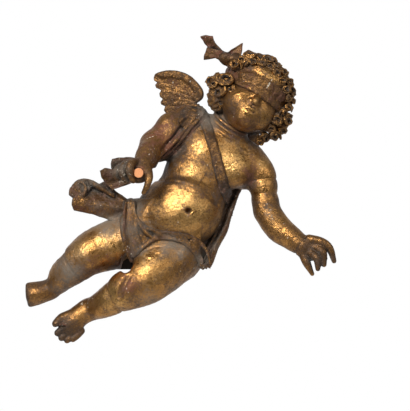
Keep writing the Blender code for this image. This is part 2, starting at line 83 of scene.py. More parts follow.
def axes_of(up, front=(0, -1, 0)):
    """Three unit rows: the form's own right, its front and up, square to each other, up kept as given."""
    up = unit(up)
    front = np.asarray(front, float)
    front = unit(front - (front @ up) * up)
    return np.array([np.cross(front, up), front, up])


def single(*rows):
    """Each row as an array of single precision, in which all distances are reckoned."""
    return [np.asarray(row, np.float32) for row in rows]


def less(at, origin):
    """The offsets of many places from one."""
    return [a - b for a, b in zip(at, origin)]


def dot(p, q):
    return sum(a * b for a, b in zip(p, q))


def smooth_path(rows, steps):
    """A Catmull-Rom curve through the rows, with this many steps to each span."""
    rows = np.asarray(rows, float)
    ends = np.vstack([2 * rows[0] - rows[1], rows, 2 * rows[-1] - rows[-2]])
    t = np.linspace(0, 1, steps, endpoint=False)[None, :, None]
    a, b, c, d = ends[:-3, None], ends[1:-2, None], ends[2:-1, None], ends[3:, None]
    curve = 0.5 * (2 * b + (c - a) * t + (2 * a - 5 * b + 4 * c - d) * t**2 + (3 * b - a - 3 * c + d) * t**3)
    return np.vstack([curve.reshape(-1, rows.shape[1]), rows[-1:]])


def read_along(where, values):
    """Values given at each point of a path, read at fractional places along it."""
    return np.interp(where.ravel(), np.arange(len(values)), values).reshape(where.shape).astype(np.float32)


def side_frames(path, side):
    """At each point of a path, the side direction made square to the path, and the normal to both."""
    run = np.gradient(path, axis=0)
    run /= np.linalg.norm(run, axis=1, keepdims=True)
    side = side - (side * run).sum(1, keepdims=True) * run
    side /= np.linalg.norm(side, axis=1, keepdims=True)
    return side, np.cross(run, side)


def spans_of(at, path):
    """For each straight span of a path: its number, the share along it nearest each place, and the offset."""
    for i in range(len(path) - 1):
        start, run = single(path[i], path[i + 1] - path[i])
        p = less(at, start)
        t = np.clip(dot(p, run) / (run @ run + np.float32(1e-9)), 0, 1)
        yield i, t, [a - t * b for a, b in zip(p, run)]


def nearest(at, path):
    """The fractional place of the nearest point of a path, the offset from it, and that offset's square."""
    best, where, kept = np.float32(np.inf), np.float32(0), at
    for i, t, offset in spans_of(at, path):
        square = dot(offset, offset)
        closer = square < best
        best = np.where(closer, square, best)
        where = np.where(closer, t + np.float32(i), where)
        kept = [np.where(closer, new, old) for new, old in zip(offset, kept)]
    return where, kept, best


def egg(centre, radii, axes=np.eye(3)):
    """An ellipsoid: with p the place over the radii, its distance is about |p|(|p| - 1) / |p / radii|."""
    centre, radii, rows = single(centre, radii, axes)
    reach = np.sqrt(((rows * radii[:, None]) ** 2).sum(0))

    def distance(at):
        p = less(at, centre)
        own = [dot(p, row) for row in rows]
        near = np.sqrt(sum((a / r) ** 2 for a, r in zip(own, radii)))
        slope = np.sqrt(sum((a / r**2) ** 2 for a, r in zip(own, radii))) + np.float32(1e-6)
        return near * (near - 1) / slope

    return centre - reach, centre + reach, distance


def limb(points, radii, steps=4):
    """A ball of changing radius carried along a smooth path."""
    fine = smooth_path(np.column_stack([points, radii]), steps).astype(np.float32)
    path, radius = fine[:, :3], fine[:, 3]

    def distance(at):
        best = FAR
        for i, t, offset in spans_of(at, path):
            away = np.sqrt(dot(offset, offset))
            best = np.minimum(best, away - radius[i] - t * (radius[i + 1] - radius[i]))
        return best

    return (path - radius[:, None]).min(0), (path + radius[:, None]).max(0), distance


def ring(centre, axis, radius, thick):
    """A round ring across an axis, which cuts a crease or lays a fold."""
    centre, axis, radius, thick = single(centre, unit(axis), radius, thick)
    reach = radius + thick

    def distance(at):
        p = less(at, centre)
        along = dot(p, axis)
        out = np.sqrt(np.maximum(dot(p, p) - along * along, 0))
        return np.hypot(out - radius, along) - thick

    return centre - reach, centre + reach, distance


def strip(points, halves, side, thick, folds=None, steps=5):
    """A strip of cloth along a smooth path: u runs -1 to 1 across it and s 0 to 1 along it, and folds(u, s)
    lifts its middle surface along the normal."""
    fine = smooth_path(np.column_stack([points, halves]), steps)
    path, half = fine[:, :3], fine[:, 3]
    sides, normals = side_frames(path, np.asarray(side, float))
    thick = np.float32(thick)
    lift = 0.0
    if folds:
        lift = np.abs(folds(*np.meshgrid(np.linspace(-1, 1, 41), np.linspace(0, 1, 41)))).max()

    def distance(at):
        where, offset, square = nearest(at, path)
        u, v = (dot(offset, [read_along(where, row) for row in rows.T]) for rows in (sides, normals))
        past = np.sqrt(np.maximum(square - u * u - v * v, 0))
        wide = read_along(where, half)
        if folds:
            u_share, s_share = np.clip(u / wide, -1, 1), where / np.float32(len(path) - 1)
            slope = (folds(u_share + 0.01, s_share) - folds(u_share - 0.01, s_share)) / (0.02 * wide)
            v = (v - folds(u_share, s_share)) / np.sqrt(1 + slope**2)
        across = np.abs(u) - wide + 0.3 * thick
        deep = np.abs(v) - 0.2 * thick
        outside = np.sqrt(np.maximum(across, 0) ** 2 + np.maximum(deep, 0) ** 2 + past**2)
        return outside + np.minimum(np.maximum(across, deep), 0) - 0.3 * thick

    reach = np.hypot(half, thick + lift)[:, None]
    return (path - reach).min(0), (path + reach).max(0), distance


def block(centre, halves, axes):
    """A box: its distance is how far the place, in its own axes, lies past the half sizes."""
    centre, halves, axes = single(centre, halves, axes)
    reach = (np.abs(axes) * halves[:, None]).sum(0)

    def distance(at):
        p = less(at, centre)
        past = [np.abs(dot(p, row)) - half for row, half in zip(axes, halves)]
        outside = np.sqrt(sum(np.maximum(a, 0) ** 2 for a in past))
        return outside + np.minimum(np.maximum(np.maximum(past[0], past[1]), past[2]), 0)

    return centre - reach, centre + reach, distance


def plaque(outline, lift, half, origin=(0, 0, 0), out=(1, 0, 0), rise=(0, 0, 1), deep=(-70, 70), k=1.2):
    """A carved sheet: inside an outline in its own plane of out and rise, it lies lift(a, b) off that plane
    and reaches half(a, b, rim) to each side, where rim is the distance to the outline, negative inside."""
    origin, out, rise = single(origin, unit(out), unit(rise))
    face = np.cross(out, rise)
    corners = np.asarray(outline, float)
    ends = [origin + a * out + b * rise + c * face for a, b in corners for c in deep]

    def distance(at):
        p = less(at, origin)
        a, b, c = (dot(p, row) for row in (out, rise, face))
        rim = outline_distance(a, b, corners)
        middle = lift(a, b)
        slope = np.hypot(lift(a + 0.3, b) - middle, lift(a, b + 0.3) - middle) / 0.3
        sheet = (np.abs(c - middle) - half(a, b, rim)) / np.sqrt(1 + slope**2)
        return -melt(-rim, -sheet, k)

    return np.min(ends, 0), np.max(ends, 0), distance


def melt(a, b, k):
    """The smaller of two distances, with a join rounded over a width k."""
    if k == 0:
        return np.minimum(a, b)
    near = np.maximum(np.float32(k) - np.abs(a - b), 0) / np.float32(k)
    return np.minimum(a, b) - near * near * np.float32(k / 4)


def off_span(x, z, a, b):
    """In the front view, the offset from the nearest point of a straight span."""
    run = b - a
    t = np.clip(((x - a[0]) * run[0] + (z - a[1]) * run[1]) / (run @ run), 0, 1)
    return x - a[0] - t * run[0], z - a[1] - t * run[1]


def outline_distance(x, z, corners):
    """In the front view, the distance to a closed outline, negative inside."""
    corners = np.asarray(corners, float)
    best = np.full(x.shape, FAR**2)
    inside = np.zeros(x.shape, bool)
    for a, b in zip(corners, np.roll(corners, -1, 0)):
        off_x, off_z = off_span(x, z, a, b)
        best = np.minimum(best, off_x**2 + off_z**2)
        crosses = (a[1] > z) != (b[1] > z)
        inside ^= crosses & (x - a[0] < (z - a[1]) * (b - a)[0] / ((b - a)[1] or 1))
    return np.where(inside, -1, 1) * np.sqrt(best)


def band_distance(x, z, points, half):
    """In the front view, the distance to a band of this half width along a line."""
    points = np.asarray(points, float)
    best = FAR
    for a, b in zip(points, points[1:]):
        best = np.minimum(best, np.hypot(*off_span(x, z, a, b)))
    return best - half


class Clay:
    """A block of space in small cubes, each with its distance to the carved surface."""

    def __init__(self, step, low=BLOCK[0], high=BLOCK[1]):
        self.step, self.low = step, np.asarray(low, float)
        size = (np.subtract(high, low) / step).astype(int) + 1
        self.axes = [(a + step * np.arange(n)).astype(np.float32) for a, n in zip(low, size)]
        self.field = np.full(size, FAR, np.float32)

    def mix(self, form, k, rule):
        """Changes the field by a rule where a form reaches, with room for a join of width k."""
        low, high, distance = form
        reach = k + 3 * self.step
        near = zip(self.axes, low - reach, high + reach)
        spans = tuple(slice(*np.searchsorted(axis, ends)) for axis, *ends in near)
        if any(span.stop <= span.start for span in spans):
            return
        at = np.meshgrid(*(axis[span] for axis, span in zip(self.axes, spans)), indexing="ij")
        self.field[spans] = rule(self.field[spans], distance(at).astype(np.float32))

    def add(self, form, k=0.0):
        self.mix(form, k, lambda old, new: melt(old, new, k))

    def cut(self, form, k=0.0):
        self.mix(form, k, lambda old, new: -melt(-old, new, k))

    def limbs(self, rows, k):
        for points, radii in rows:
            self.add(limb(points, radii), k)

    def eggs(self, axes, *rows):
        """Adds ellipsoids with the same axes: rows of centre, radii and the width of the join."""
        for centre, radii, k in rows:
            self.add(egg(centre, radii, axes), k)

    def lay(self, body, edge, thick, back, k=0.6):
        """Cloth on the body: the body's distance less a thickness, inside an outline of the front view."""
        x, z = np.meshgrid(self.axes[0], self.axes[2], indexing="ij")
        rim = edge(x, z).astype(np.float32)
        skin = body.field - thick(x, z, rim).astype(np.float32)[:, None, :]
        cloth = -melt(-skin, np.broadcast_to(-rim[:, None, :], skin.shape), 3.4)
        cloth = np.maximum(cloth, (self.axes[1] - back)[None, :, None])
        self.field = melt(self.field, cloth, k)

    def read(self, places):
        """The distance at any places, by weighting the eight cubes' corners around each."""
        at = (places - self.low) / self.step
        at = np.clip(at, 0, np.array(self.field.shape) - 1.001)
        cell = at.astype(int)
        share = at - cell
        total = 0.0
        for corner in np.ndindex(2, 2, 2):
            weight = np.prod(np.where(corner, share, 1 - share), axis=1)
            total = total + weight * self.field[tuple((cell + corner).T)]
        return total


def on_skin(clay, rows, sink=0.0):
    """Rows of x and z in the front view, given the y of the carving's front face there, moved back by sink.
    A row that misses the carving takes the y of the row before it."""
    places, y = [], 0.0
    for x, z in rows:
        i, k = round((x - clay.low[0]) / clay.step), round((z - clay.low[2]) / clay.step)
        inside = clay.field[i, :, k] < 0
        if inside.any():
            y = clay.axes[1][np.argmax(inside)] + sink
        places.append((x, y, z))
    return places


# The parts of the figure

TORSO = axes_of((0.56, 0.0, 0.83))
HEAD = axes_of((0.47, 0.21, 0.86), (0.20, -0.95, 0.12))
HEAD_CENTRE = np.array([52.0, -4.0, 121.5])
DOWEL_AT = np.array([-59.6, -50.0, 46.2])
RIGHT_WING = ((-10, 25, 104), (-1, 0.25, 0), (0, 0, 1))
LEFT_WING = ((33, 21, 66), (0.72, 0.42, -0.1), (0.0, 0.28, 0.95))


def on_head(places):
    """Places given by the head's own right, front and up."""
    return HEAD_CENTRE + np.asarray(places) @ HEAD


def mirrored(rows, *middle):
    """Rows of one side of the head, the middle ones, and the rows again on the other side."""
    return [*rows, *middle, *((-right, front, up) for right, front, up in reversed(rows))]


def carve_trunk(clay):
    """Hips, belly, ribs and shoulders melt into each other; the crease, navel and neck rings come last."""
    clay.eggs(
        TORSO,
        ((-43, 3, -18), (46, 29, 32), 0),
        ((-43, -2, 3), (19, 22, 19), 14),
        ((-15, -3, 11), (38, 33, 37), 30),
        ((6, 1, 53), (34, 26, 38), 20),
    )
    clay.add(limb([(-6, 3, 93), (19, 4, 80), (47, 3, 61)], [17, 21, 16]), 14)
    for breast in ((2, -14, 69), (34, -15.5, 49)):
        clay.add(egg(breast, (17, 10, 15), TORSO), 13)
    for buttock in ((-62, 18, -16), (-31, 18, -36)):
        clay.add(egg(buttock, (25, 24, 28), TORSO), 12)
    clay.add(limb([(22, 4, 82), (36, -2, 104)], [18, 16]), 9)
    clay.add(egg((-5, -15.5, 43), (25, 15, 16), TORSO), 13)
    clay.add(egg((42, 1, 40.5), (11, 15, 10)), 6)
    clay.add(egg((-20, 1, 53), (12, 18, 14), TORSO), 9)
    crease = np.array([(-32, 40), (-25, 41), (-12, 38.5), (0, 33.5), (9, 27), (17, 18)])
    clay.cut(limb(on_skin(clay, crease - (0, 1.5), -0.3), [0.1, 0.3, 0.8, 1.1, 1.0, 0.6]), 6)
    clay.cut(egg(on_skin(clay, [(-11.5, 9.5)])[0], (3.2, 7.0, 2.9)), 1.4)
    for centre, size in (((27.0, 0.7, 89.5), 20.0), ((29.0, 0.2, 93.2), 19.4), ((31.0, -0.3, 97), 18.6)):
        clay.add(ring(centre, (0.53, -0.25, 0.8), size, 1.8), 1.2)


def carve_legs(clay):
    """Thigh and shin of each side, then the skin folds at knees and ankles."""
    for way, radii, k in (
        ([(-58, 6, -14), (-79, -2, -22), (-103, -8, -30.5), (-117, -9, -38.5)], [27, 25.5, 22.7, 19], 10),
        (
            [(-121, -9, -43.5), (-134, 0, -53.5), (-144, 9, -64.5), (-151, 13, -70)],
            [17.5, 15.6, 10.8, 9.4],
            3,
        ),
        ([(-26, 2, -35), (-45, -14, -51), (-58, -22, -63), (-72, -26, -70)], [29, 27, 22.5, 19], 10),
        (
            [(-76, -25, -71), (-93.2, -16, -82.3), (-105, -9, -87.6), (-113, -5, -91)],
            [17.6, 14.6, 11.6, 10.2],
            3,
        ),
    ):
        clay.add(limb(way, radii), k)
    for knee in ((-110, -19, -35), (-72, -33, -62)):
        clay.add(egg(knee, (10, 9, 10)), 12)
    for centre, axis, size, thick, k in (
        ((-84, -21, -75.5), (-0.86, 0.3, -0.42), 17.4, 0.5, 3),
        ((-124, -6.5, -46), (-0.8, 0.3, -0.55), 18.6, 0.5, 3),
        ((-112, -6, -89.5), (-0.8, 0.3, -0.5), 10.6, 0.5, 1.6),
        ((-149, 12.5, -69), (-0.8, 0.2, -0.5), 9.6, 0.3, 1.4),
    ):
        clay.cut(ring(centre, axis, size, thick), k)
    clay.cut(limb(on_skin(clay, [(-70, -56), (-75, -65), (-79, -75)]), [0.3, 0.8, 0.5]), 6)
    clay.cut(egg((-72.3, -18, -42.6), (6.6, 46, 10.4), axes_of((0.2, 0, 1))), 2)


def carve_feet(clay):
    """The right foot ends in a straight worn edge, and the left one has its toes."""
    foot = [(-148, 14, -70), (-158, 13, -72), (-168, 12, -74.5), (-180, 11, -77)]
    clay.add(strip(foot, [8, 9.6, 11.2, 12.6], (-0.12, 0, 1), 10), 4)
    clay.add(egg((-165, 6.5, -74), (17, 9, 9.5), axes_of((-0.12, 0, 1))), 9)
    clay.cut(block((-190.6, 12, -75), (16, 40, 40), axes_of((-0.12, 0, 1))), 4)
    clay.add(limb([(-112, -5, -89), (-121, -9, -96), (-131, -12, -105)], [10, 11, 11.5]), 4)
    clay.add(egg((-130.5, -13, -105.5), (15.5, 8, 11.5), axes_of((-0.75, 0, -0.66))), 4)
    clay.add(limb([(-129, -14, -95), (-138, -17, -98.5), (-142.5, -20, -102.5)], [5.8, 5.2, 4.2]), 2)
    clay.cut(egg((-140.5, -17, -107), (8, 16, 1.5), axes_of((-0.3, 0, 1))), 1.5)
    for i, (x, z) in enumerate([(-141, -112), (-137.5, -117), (-132, -119.3), (-126, -118.3)]):
        thick = 4.0 - 0.25 * i
        toe = [(x + 8, -13, z + 8), (x + 3, -17.5, z + 2.5), (x, -18.5, z)]
        clay.add(limb(toe, [thick + 0.4, thick, 0.9 * thick]), 1.0)


def carve_left_arm(clay):
    """The arm that reaches out, with its open hand."""
    shoulder = [(48, 4, 59), (57, 0, 52), (61.5, -2, 45), (62.5, -3, 39.5)]
    elbow = [(63.5, -4, 33), (64, -5, 25.5), (65.3, -6, 18), (66, -7, 9.5)]
    clay.add(limb(shoulder + elbow, [15.5, 15.2, 14.6, 13.2, 14.0, 12.9, 13.7, 12.9]), 8)
    clay.add(limb([(67, -8, 8), (78, -13, -8), (90, -17, -17), (100, -21, -25)], [13.2, 13.6, 12, 10]), 3)
    for centre, size in (((62.5, -3, 39.5), 13.8), ((64, -5, 25.5), 13.5)):
        clay.cut(ring(centre, (0.12, -0.1, -1), size, 0.3), 1.2)
    clay.add(egg((109, -22, -28), (13, 8, 12.5), axes_of((-0.6, 0, 0.8))), 4)
    fingers = (
        ([(108, -25, -19), (119, -28, -21), (128, -28, -28), (132.5, -26, -40.5)], [4.8, 4.4, 3.9, 2.6]),
        ([(114, -26, -26), (121, -31, -32), (122.5, -29, -44)], [4.6, 4.2, 2.9]),
        ([(109, -26, -32), (115.5, -32, -38), (116.5, -29, -48)], [4.6, 4.2, 2.9]),
        ([(102, -22, -33), (105, -27, -41), (111, -27, -53)], [4.8, 4.2, 2.4]),
        ([(112, -16, -24), (121, -15, -29), (124, -16, -38)], [3.8, 3.6, 2.6]),
    )
    clay.limbs(fingers, 1.2)
    clay.cut(ring((101, -21, -25), (0.75, -0.25, -0.6), 10.2, 0.4), 1.4)


def carve_right_arm(clay):
    """The bent arm, with its fist closed round the stub."""
    clay.add(limb([(-11, 2, 96), (-27, -4, 87), (-44, -14, 75)], [18.5, 17.5, 14.6]), 8)
    clay.add(limb([(-45, -14, 75), (-50, -28, 66), (-55.5, -44, 54.5)], [14.2, 12.8, 9.6]), 4)
    sleeve = axes_of((-0.75, 0, -0.66))
    clay.eggs(sleeve, ((-28, -10, 92), (15, 12, 12), 7), ((-38, -9, 68.5), (8, 10, 13), 6))
    clay.cut(ring((-45.5, -17, 73.5), (-0.2, -0.85, -0.5), 14.6, 0.3), 1.6)
    groove = on_skin(clay, [(-13, 99), (-20, 90), (-29, 79), (-38, 69)], 0.6)
    clay.cut(limb(groove, [1.0, 1.8, 1.8, 1.0]), 2.5)
    clay.add(egg(DOWEL_AT, (11.5, 9, 10)), 4)
    fingers = (
        ([(-62, -50, 57), (-67, -60, 55), (-68, -63, 47), (-65, -57, 39)], [4.1, 4.1, 3.9, 3.1]),
        ([(-67, -46, 57), (-74, -55, 54), (-75.5, -58, 46), (-72, -52, 39.5)], [4.0, 4.0, 3.8, 3.1]),
        ([(-72, -43, 54), (-80, -51, 50), (-82.5, -52, 45), (-80, -47, 41)], [3.8, 3.7, 3.5, 3.0]),
        ([(-52, -48, 52), (-49.5, -57, 42), (-51.5, -59, 34), (-55, -57, 27)], [5.0, 4.2, 3.3, 2.5]),
    )
    clay.limbs(fingers, 1.6)
    clay.cut(limb([DOWEL_AT + (0, -40, 0), DOWEL_AT + (0, 11, 0)], [4.9, 4.9]), 0.4)


def carve_head(clay):
    """A child's head by the usual proportions: full cheeks and a small chin; the band covers the eyes, which
    are not carved.
    """
    for place, radii, k in (
        ((0, -5, 6.5), (30.5, 35, 30.5), 3),
        ((0, 8, -16), (24, 23, 20), 14),
        ((-12, 16.5, -14.5), (13.5, 13.5, 13.5), 9),
        ((12, 16.5, -14.5), (13.5, 13.5, 13.5), 9),
        ((0, 25.5, -28.5), (8.5, 7, 7.2), 7),
        ((0, 15, -32.5), (13, 9, 5.5), 5),
        ((0, 16, 21), (22, 14.5, 11), 8),
    ):
        clay.add(egg(on_head(place), radii, HEAD), k)
    clay.add(limb(on_head([(0, 29.5, -1), (0, 32.2, -6), (0, 34.6, -10.4)]), [3.0, 3.3, 3.6]), 5)
    for side in (-4.2, 4.2):
        clay.add(egg(on_head((side, 31.6, -11.2)), (2.7, 3.0, 2.3), HEAD), 1.6)
    clay.add(egg(on_head((0, 28.4, -20.5)), (9.5, 5.5, 6.5), HEAD), 6)
    upper = mirrored([(-6.2, 30.6, -20.3), (-2.6, 33.4, -18.5)], (0, 33.8, -19.2))
    lower = mirrored([(-4.8, 30.6, -22.4), (-2, 32.8, -23.4)])
    lips = ((on_head(upper), [0.9, 1.9, 1.7, 1.9, 0.9]), (on_head(lower), [1.1, 2.2, 2.2, 1.1]))
    clay.limbs(lips, 1.2)
    parting = mirrored([(-6.6, 31.2, -21.2), (-2.6, 34.9, -21.0)], (0, 35.2, -21.5))
    clay.cut(limb(on_head(parting), [0.4, 0.5, 0.5, 0.5, 0.4]), 0.7)
    clay.cut(limb(on_head([(0, 34.6, -14.5), (0, 34.4, -16.8)]), [0.5, 0.6]), 1.5)
    for side in (-2.3, 2.3):
        clay.cut(egg(on_head((side, 33.2, -14.0)), (1.0, 1.0, 0.6), HEAD), 0.6)
    clay.add(limb([(34, -1, 98), (31, 2, 92)], [15.5, 16.5]), 5)


def carve_body(clay):
    carve_trunk(clay)
    carve_legs(clay)
    carve_feet(clay)
    carve_left_arm(clay)
    carve_right_arm(clay)


def carve_blindfold(clay):
    """A ring of cloth round the head, over the eyes, with two soft folds along it."""
    turn = np.linspace(0, 2 * np.pi, 49)
    band = [on_head((33 * np.sin(a), -4 + 36.5 * np.cos(a), 6.5 + 1.5 * np.sin(a))) for a in turn]

    def folds(u, s):
        return 0.7 * np.cos(5.5 * u + 1.0 + 0.8 * np.sin(19 * s)) + 0.35 * np.sin(31 * s + 5 * u)

    clay.add(strip(band, [0.62 * BAND] * len(band), HEAD[2], 0.75 * BAND_THICK, folds, steps=1), 0.5)


def carve_hair_cap(clay, curls):
    """The mass of hair, clear of the face and of the forehead above the band, with a lump under each curl."""
    clay.add(egg(on_head((0, -5, 9)), (32, 35, 32), HEAD))
    clay.add(egg(on_head((0, -13, -8)), (33, 27, 25), HEAD), 8)
    clay.cut(egg(on_head((0, 42, -15)), (29, 36, 27), HEAD), 3)
    clay.cut(egg(on_head((2, 36, 17)), (21, 19, 7.5), HEAD), 3)
    clay.eggs(
        np.eye(3),
        ((22, -9, 126), (11, 12, 18), 4),
        ((19, -13, 137), (9, 9, 9), 4),
        ((16, -14, 121), (8, 9, 13), 4),
        ((76, -4, 97), (12, 13, 12), 4),
    )
    for centre, out, size in curls:
        lump = (0.92 * size, 0.92 * size, 0.7 * size)
        clay.add(egg(centre - 0.62 * size * out, lump, axes_of(out, (0.3, 0.5, 0.8))), 1.5)


# Curls that show at the sides and crown: x, y, z and size
CURLS_PLACED = (
    (12, -14, 138, 6.6), (26, -29, 139.5, 7.6), (19, -24, 127, 7.0), (14, -16, 117.5, 6.0),
    (22, -21, 116.5, 5.4), (31, -31, 129, 4.2), (17, -16, 112, 4.6), (14, -24, 134, 4.4),
    (13.5, -11, 127, 4.6), (34, -27, 153.5, 5.2), (42, -24, 158, 5.2), (50, -18, 163, 6.2),
    (59, -16, 161, 5.4), (68, -14, 159.5, 5.8), (53, -26, 156, 5.0), (61.5, -26, 154.5, 4.8),
    (69.5, -24, 151.5, 4.6), (76, -24, 146, 4.6), (81, -23, 138.5, 4.6), (76, -15, 153.5, 5.2),
    (83, -15, 146.5, 5.0), (88, -14, 137.5, 5.0), (91, -12, 128.5, 4.8), (91.5, -11, 119.5, 4.6),
    (85.5, -22, 129.5, 4.4), (87, -19, 120.5, 4.2), (88, -15, 112, 4.4), (76, -23, 100, 5.8),
    (87, -13, 99.5, 6.0), (82.5, -12, 90, 5.4), (74, -16, 83.5, 5.6), (65, -14, 82, 5.0),
    (70, -21, 91.5, 5.0), (83, -20, 107, 4.6), (60, -12, 78, 4.2),
)


def curl_places():
    """Each curl's centre, outward direction and size: the placed ones, and a golden-angle spread behind."""
    count = 170
    golden_turn = np.pi * (3 - np.sqrt(5))
    i = np.arange(count)
    up = 1 - 2 * (i + 0.5) / count
    flat = np.sqrt(1 - up * up)
    right, front = flat * np.cos(golden_turn * i), flat * np.sin(golden_turn * i)
    on_face = (front > 0.15) & (up < 0.55) & (np.abs(right) < 0.95)
    on_band = (up < 0.16) & (up > -0.36)
    kept = (up > -0.74) & ~on_face & ~on_band
    spread = np.column_stack([right, front, up])[kept]
    centres = HEAD_CENTRE + (spread * (33, 36, 33) + (0, -5, 8.5)) @ HEAD
    placed = np.array(CURLS_PLACED)
    apart = np.linalg.norm(centres[:, None] - placed[None, :, :3], axis=2).min(1)
    far = apart > 7.5
    sizes = 5.7 + 0.9 * np.sin(17.0 * np.arange(far.sum()))
    out = placed[:, :3] - on_head((0, -6, 0))
    tilt = 0.35 * np.sin(np.outer(np.arange(len(placed)), (2.3, 3.1, 4.7)))
    out = out / np.linalg.norm(out, axis=1, keepdims=True) + (0, -0.8, 0) + tilt
    centres = np.vstack([placed[:, :3], centres[far]])
    out = np.vstack([out, (spread @ HEAD)[far]])
    out /= np.linalg.norm(out, axis=1, keepdims=True)
    return centres, out, np.append(placed[:, 3], sizes)


HIP_CLOTH = (
    (-71, 17), (-66, 10), (-60, 0), (-50, -7), (-38, -10), (-26, -11), (-12, -13), (0, -19), (9, -29),
    (13, -41), (9, -50), (3, -49), (-1, -38), (-8, -28), (-18, -20), (-30, -17), (-45, -18.5), (-57, -26),
    (-63, -36), (-67, -38), (-72, -30), (-78, -18), (-80, 0), (-78, 14),
)
STRAP_LINE = ((2, 109), (5, 99), (8, 89), (12, 78), (15.5, 66), (19, 50), (23.8, 33), (28.5, 23), (34, 12))
HIP_FLAP = (
    (-114, 31), (-106, 34), (-96, 38.5), (-87, 31), (-78, 25), (-66, 17), (-66, 4), (-74, -3), (-88, -1),
    (-108, 6), (-125, 9.5), (-127, 15), (-126, 21),
)
HIP_SCROLL = (
    (-112, 41), (-121, 39.5), (-129, 32), (-129.5, 25), (-124, 20), (-114, 23), (-108, 32),
)
UPPER_FLAP = (
    (-89, 56), (-87.5, 61), (-80, 62), (-73, 62.8), (-60, 62.5), (-46, 64), (-40, 60), (-44, 52), (-60, 47),
    (-78, 47), (-88, 50),
)
LOWER_FLAP = (
    (-99.5, 49), (-94, 52), (-84, 50), (-72, 50), (-64, 44), (-66, 38), (-76, 33.5), (-87, 29.5), (-93, 35),
    (-97.5, 42),
)
SHOULDER_CLOTH = (
    (-20, 108), (-16, 113), (-6, 115), (3, 112), (6, 104), (-1, 97), (-9, 90), (-16, 88), (-22, 97),
)
# How far apart and how thick the roll's folds lie at each of its points
ROLL_SPREAD = np.array([1.2, 1.15, 1.05, 1.0, 0.85, 0.55])


def fan_folds(root, count, deep, first, rate):
    """A lift that ripples round a root: deep + first r + rate r sin(count angle + 0.6), r away from it."""

    def lift(x, z):
        run = np.hypot(x - root[0], z - root[1])
        angle = np.arctan2(z - root[1], np.abs(x - root[0]))
        return deep + first * run + rate * run * np.sin(count * angle + 0.6)

    return lift


def carve_flaps(clay, *rows):
    """Thin sheets that ripple like fans: rows of outline, fan, half thickness, reach in depth and join."""
    for outline, fan, half, deep, k in rows:
        clay.add(plaque(outline, fan_folds(*fan), lambda a, b, rim: half, deep=deep), k)


def carve_hip_cloth(clay, body):
    """A rippled cloth with a hem, a rolled waist and folds between, gathered where it hangs at one side."""

    def hip_thick(x, z, rim):
        turn = np.arctan2(z - 24, x + 72)
        far = np.clip(np.hypot(z - 24, x + 72) / 40, 0.3, 1)
        return CLOTH * (1.2 + 0.45 * far * np.sin(27 * turn + 0.5) + 0.25 * far * np.sin(11 * turn))

    clay.lay(body, lambda x, z: outline_distance(x, z, HIP_CLOTH), hip_thick, 30)
    hem = [(-65, -37), (-57, -27.5), (-45, -19.5), (-30, -18), (-18, -21), (-8, -29), (-1, -39), (3, -48)]
    clay.add(limb(on_skin(body, hem, -1.8), [1.5, 1.8, 1.7, 1.7, 1.9, 2.1, 2.1, 1.9]), 1.2)
    for rise, size in ((3.0, 0.9), (5.6, 0.8), (8.2, 0.7)):
        between = [(x, z + rise * min(1, 0.25 * i)) for i, (x, z) in enumerate(hem)]
        clay.add(limb(on_skin(body, between, -2.2), [size] * len(between)), 0.8)
    waist = [(-61, -3), (-50, -9), (-38, -11.5), (-26, -13), (-12, -15.5), (-1, -21), (7, -31), (10, -43)]
    clay.add(limb(on_skin(body, waist, -0.8), [1.3, 1.6, 1.5, 1.7, 1.6, 1.9, 1.8, 1.6]), 1.8)
    for fold, size in (
        ([(-67, 12), (-64, -4), (-61, -18), (-58, -26)], 2.2),
        ([(-65, 8), (-58, -6), (-52, -13), (-46, -18)], 1.9),
        ([(-30, -13), (-20, -17.5), (-11, -23), (-5, -31)], 1.7),
    ):
        clay.add(limb(on_skin(body, fold, -2.0), [0.8 * size, size, size, 0.7 * size]), 1.5)

    def hanging(u, s):
        return (0.5 + 1.0 * s) * np.sin(5.2 * u + 0.9 - 1.4 * s) + 1.1 * np.sin(2.6 * u - 1.4 + 1.5 * s)

    gather = [(-70, -22, 17), (-69.5, -27, 4), (-68.5, -29, -14), (-66, -28, -29), (-63.5, -26, -39.5)]
    clay.add(strip(gather, [4.5, 7, 8.5, 8, 6], (1, 0.35, 0), CLOTH, hanging), 1)
    clay.add(egg((-69, -17, 16), (6, 7, 6)), 3)


def carve_flying_ends(clay):
    """The cloth's two ends in the wind: one behind the hip, rolled at its tip, and one behind the fist."""
    carve_flaps(
        clay,
        (HIP_FLAP, ((-60, 10), 8, 14, 0.05, 0.13), 1.7, (0, 34), 0.8),
        (HIP_SCROLL, ((-100, 22), 6, 18, 0.1, 0.12), 1.9, (4, 34), 1.2),
    )
    clay.add(ring((-120, -20, 30.5), (-0.45, -0.85, 0.2), 7.6, 1.7), 1.2)
    rolled = [(-86, -15, 24), (-100, -16, 33), (-112, -16, 38), (-123, -13, 35), (-127, -10, 27)]
    clay.add(limb(rolled, [1.8, 2.8, 3.2, 3.4, 2.6]), 2)
    carve_flaps(
        clay,
        (UPPER_FLAP, ((-40, 56), 15, 8, 0.25, 0.05), 1.5, (0, 34), 0.8),
        (LOWER_FLAP, ((-58, 44), 9, 14, 0.25, 0.09), 1.5, (6, 38), 0.8),
    )


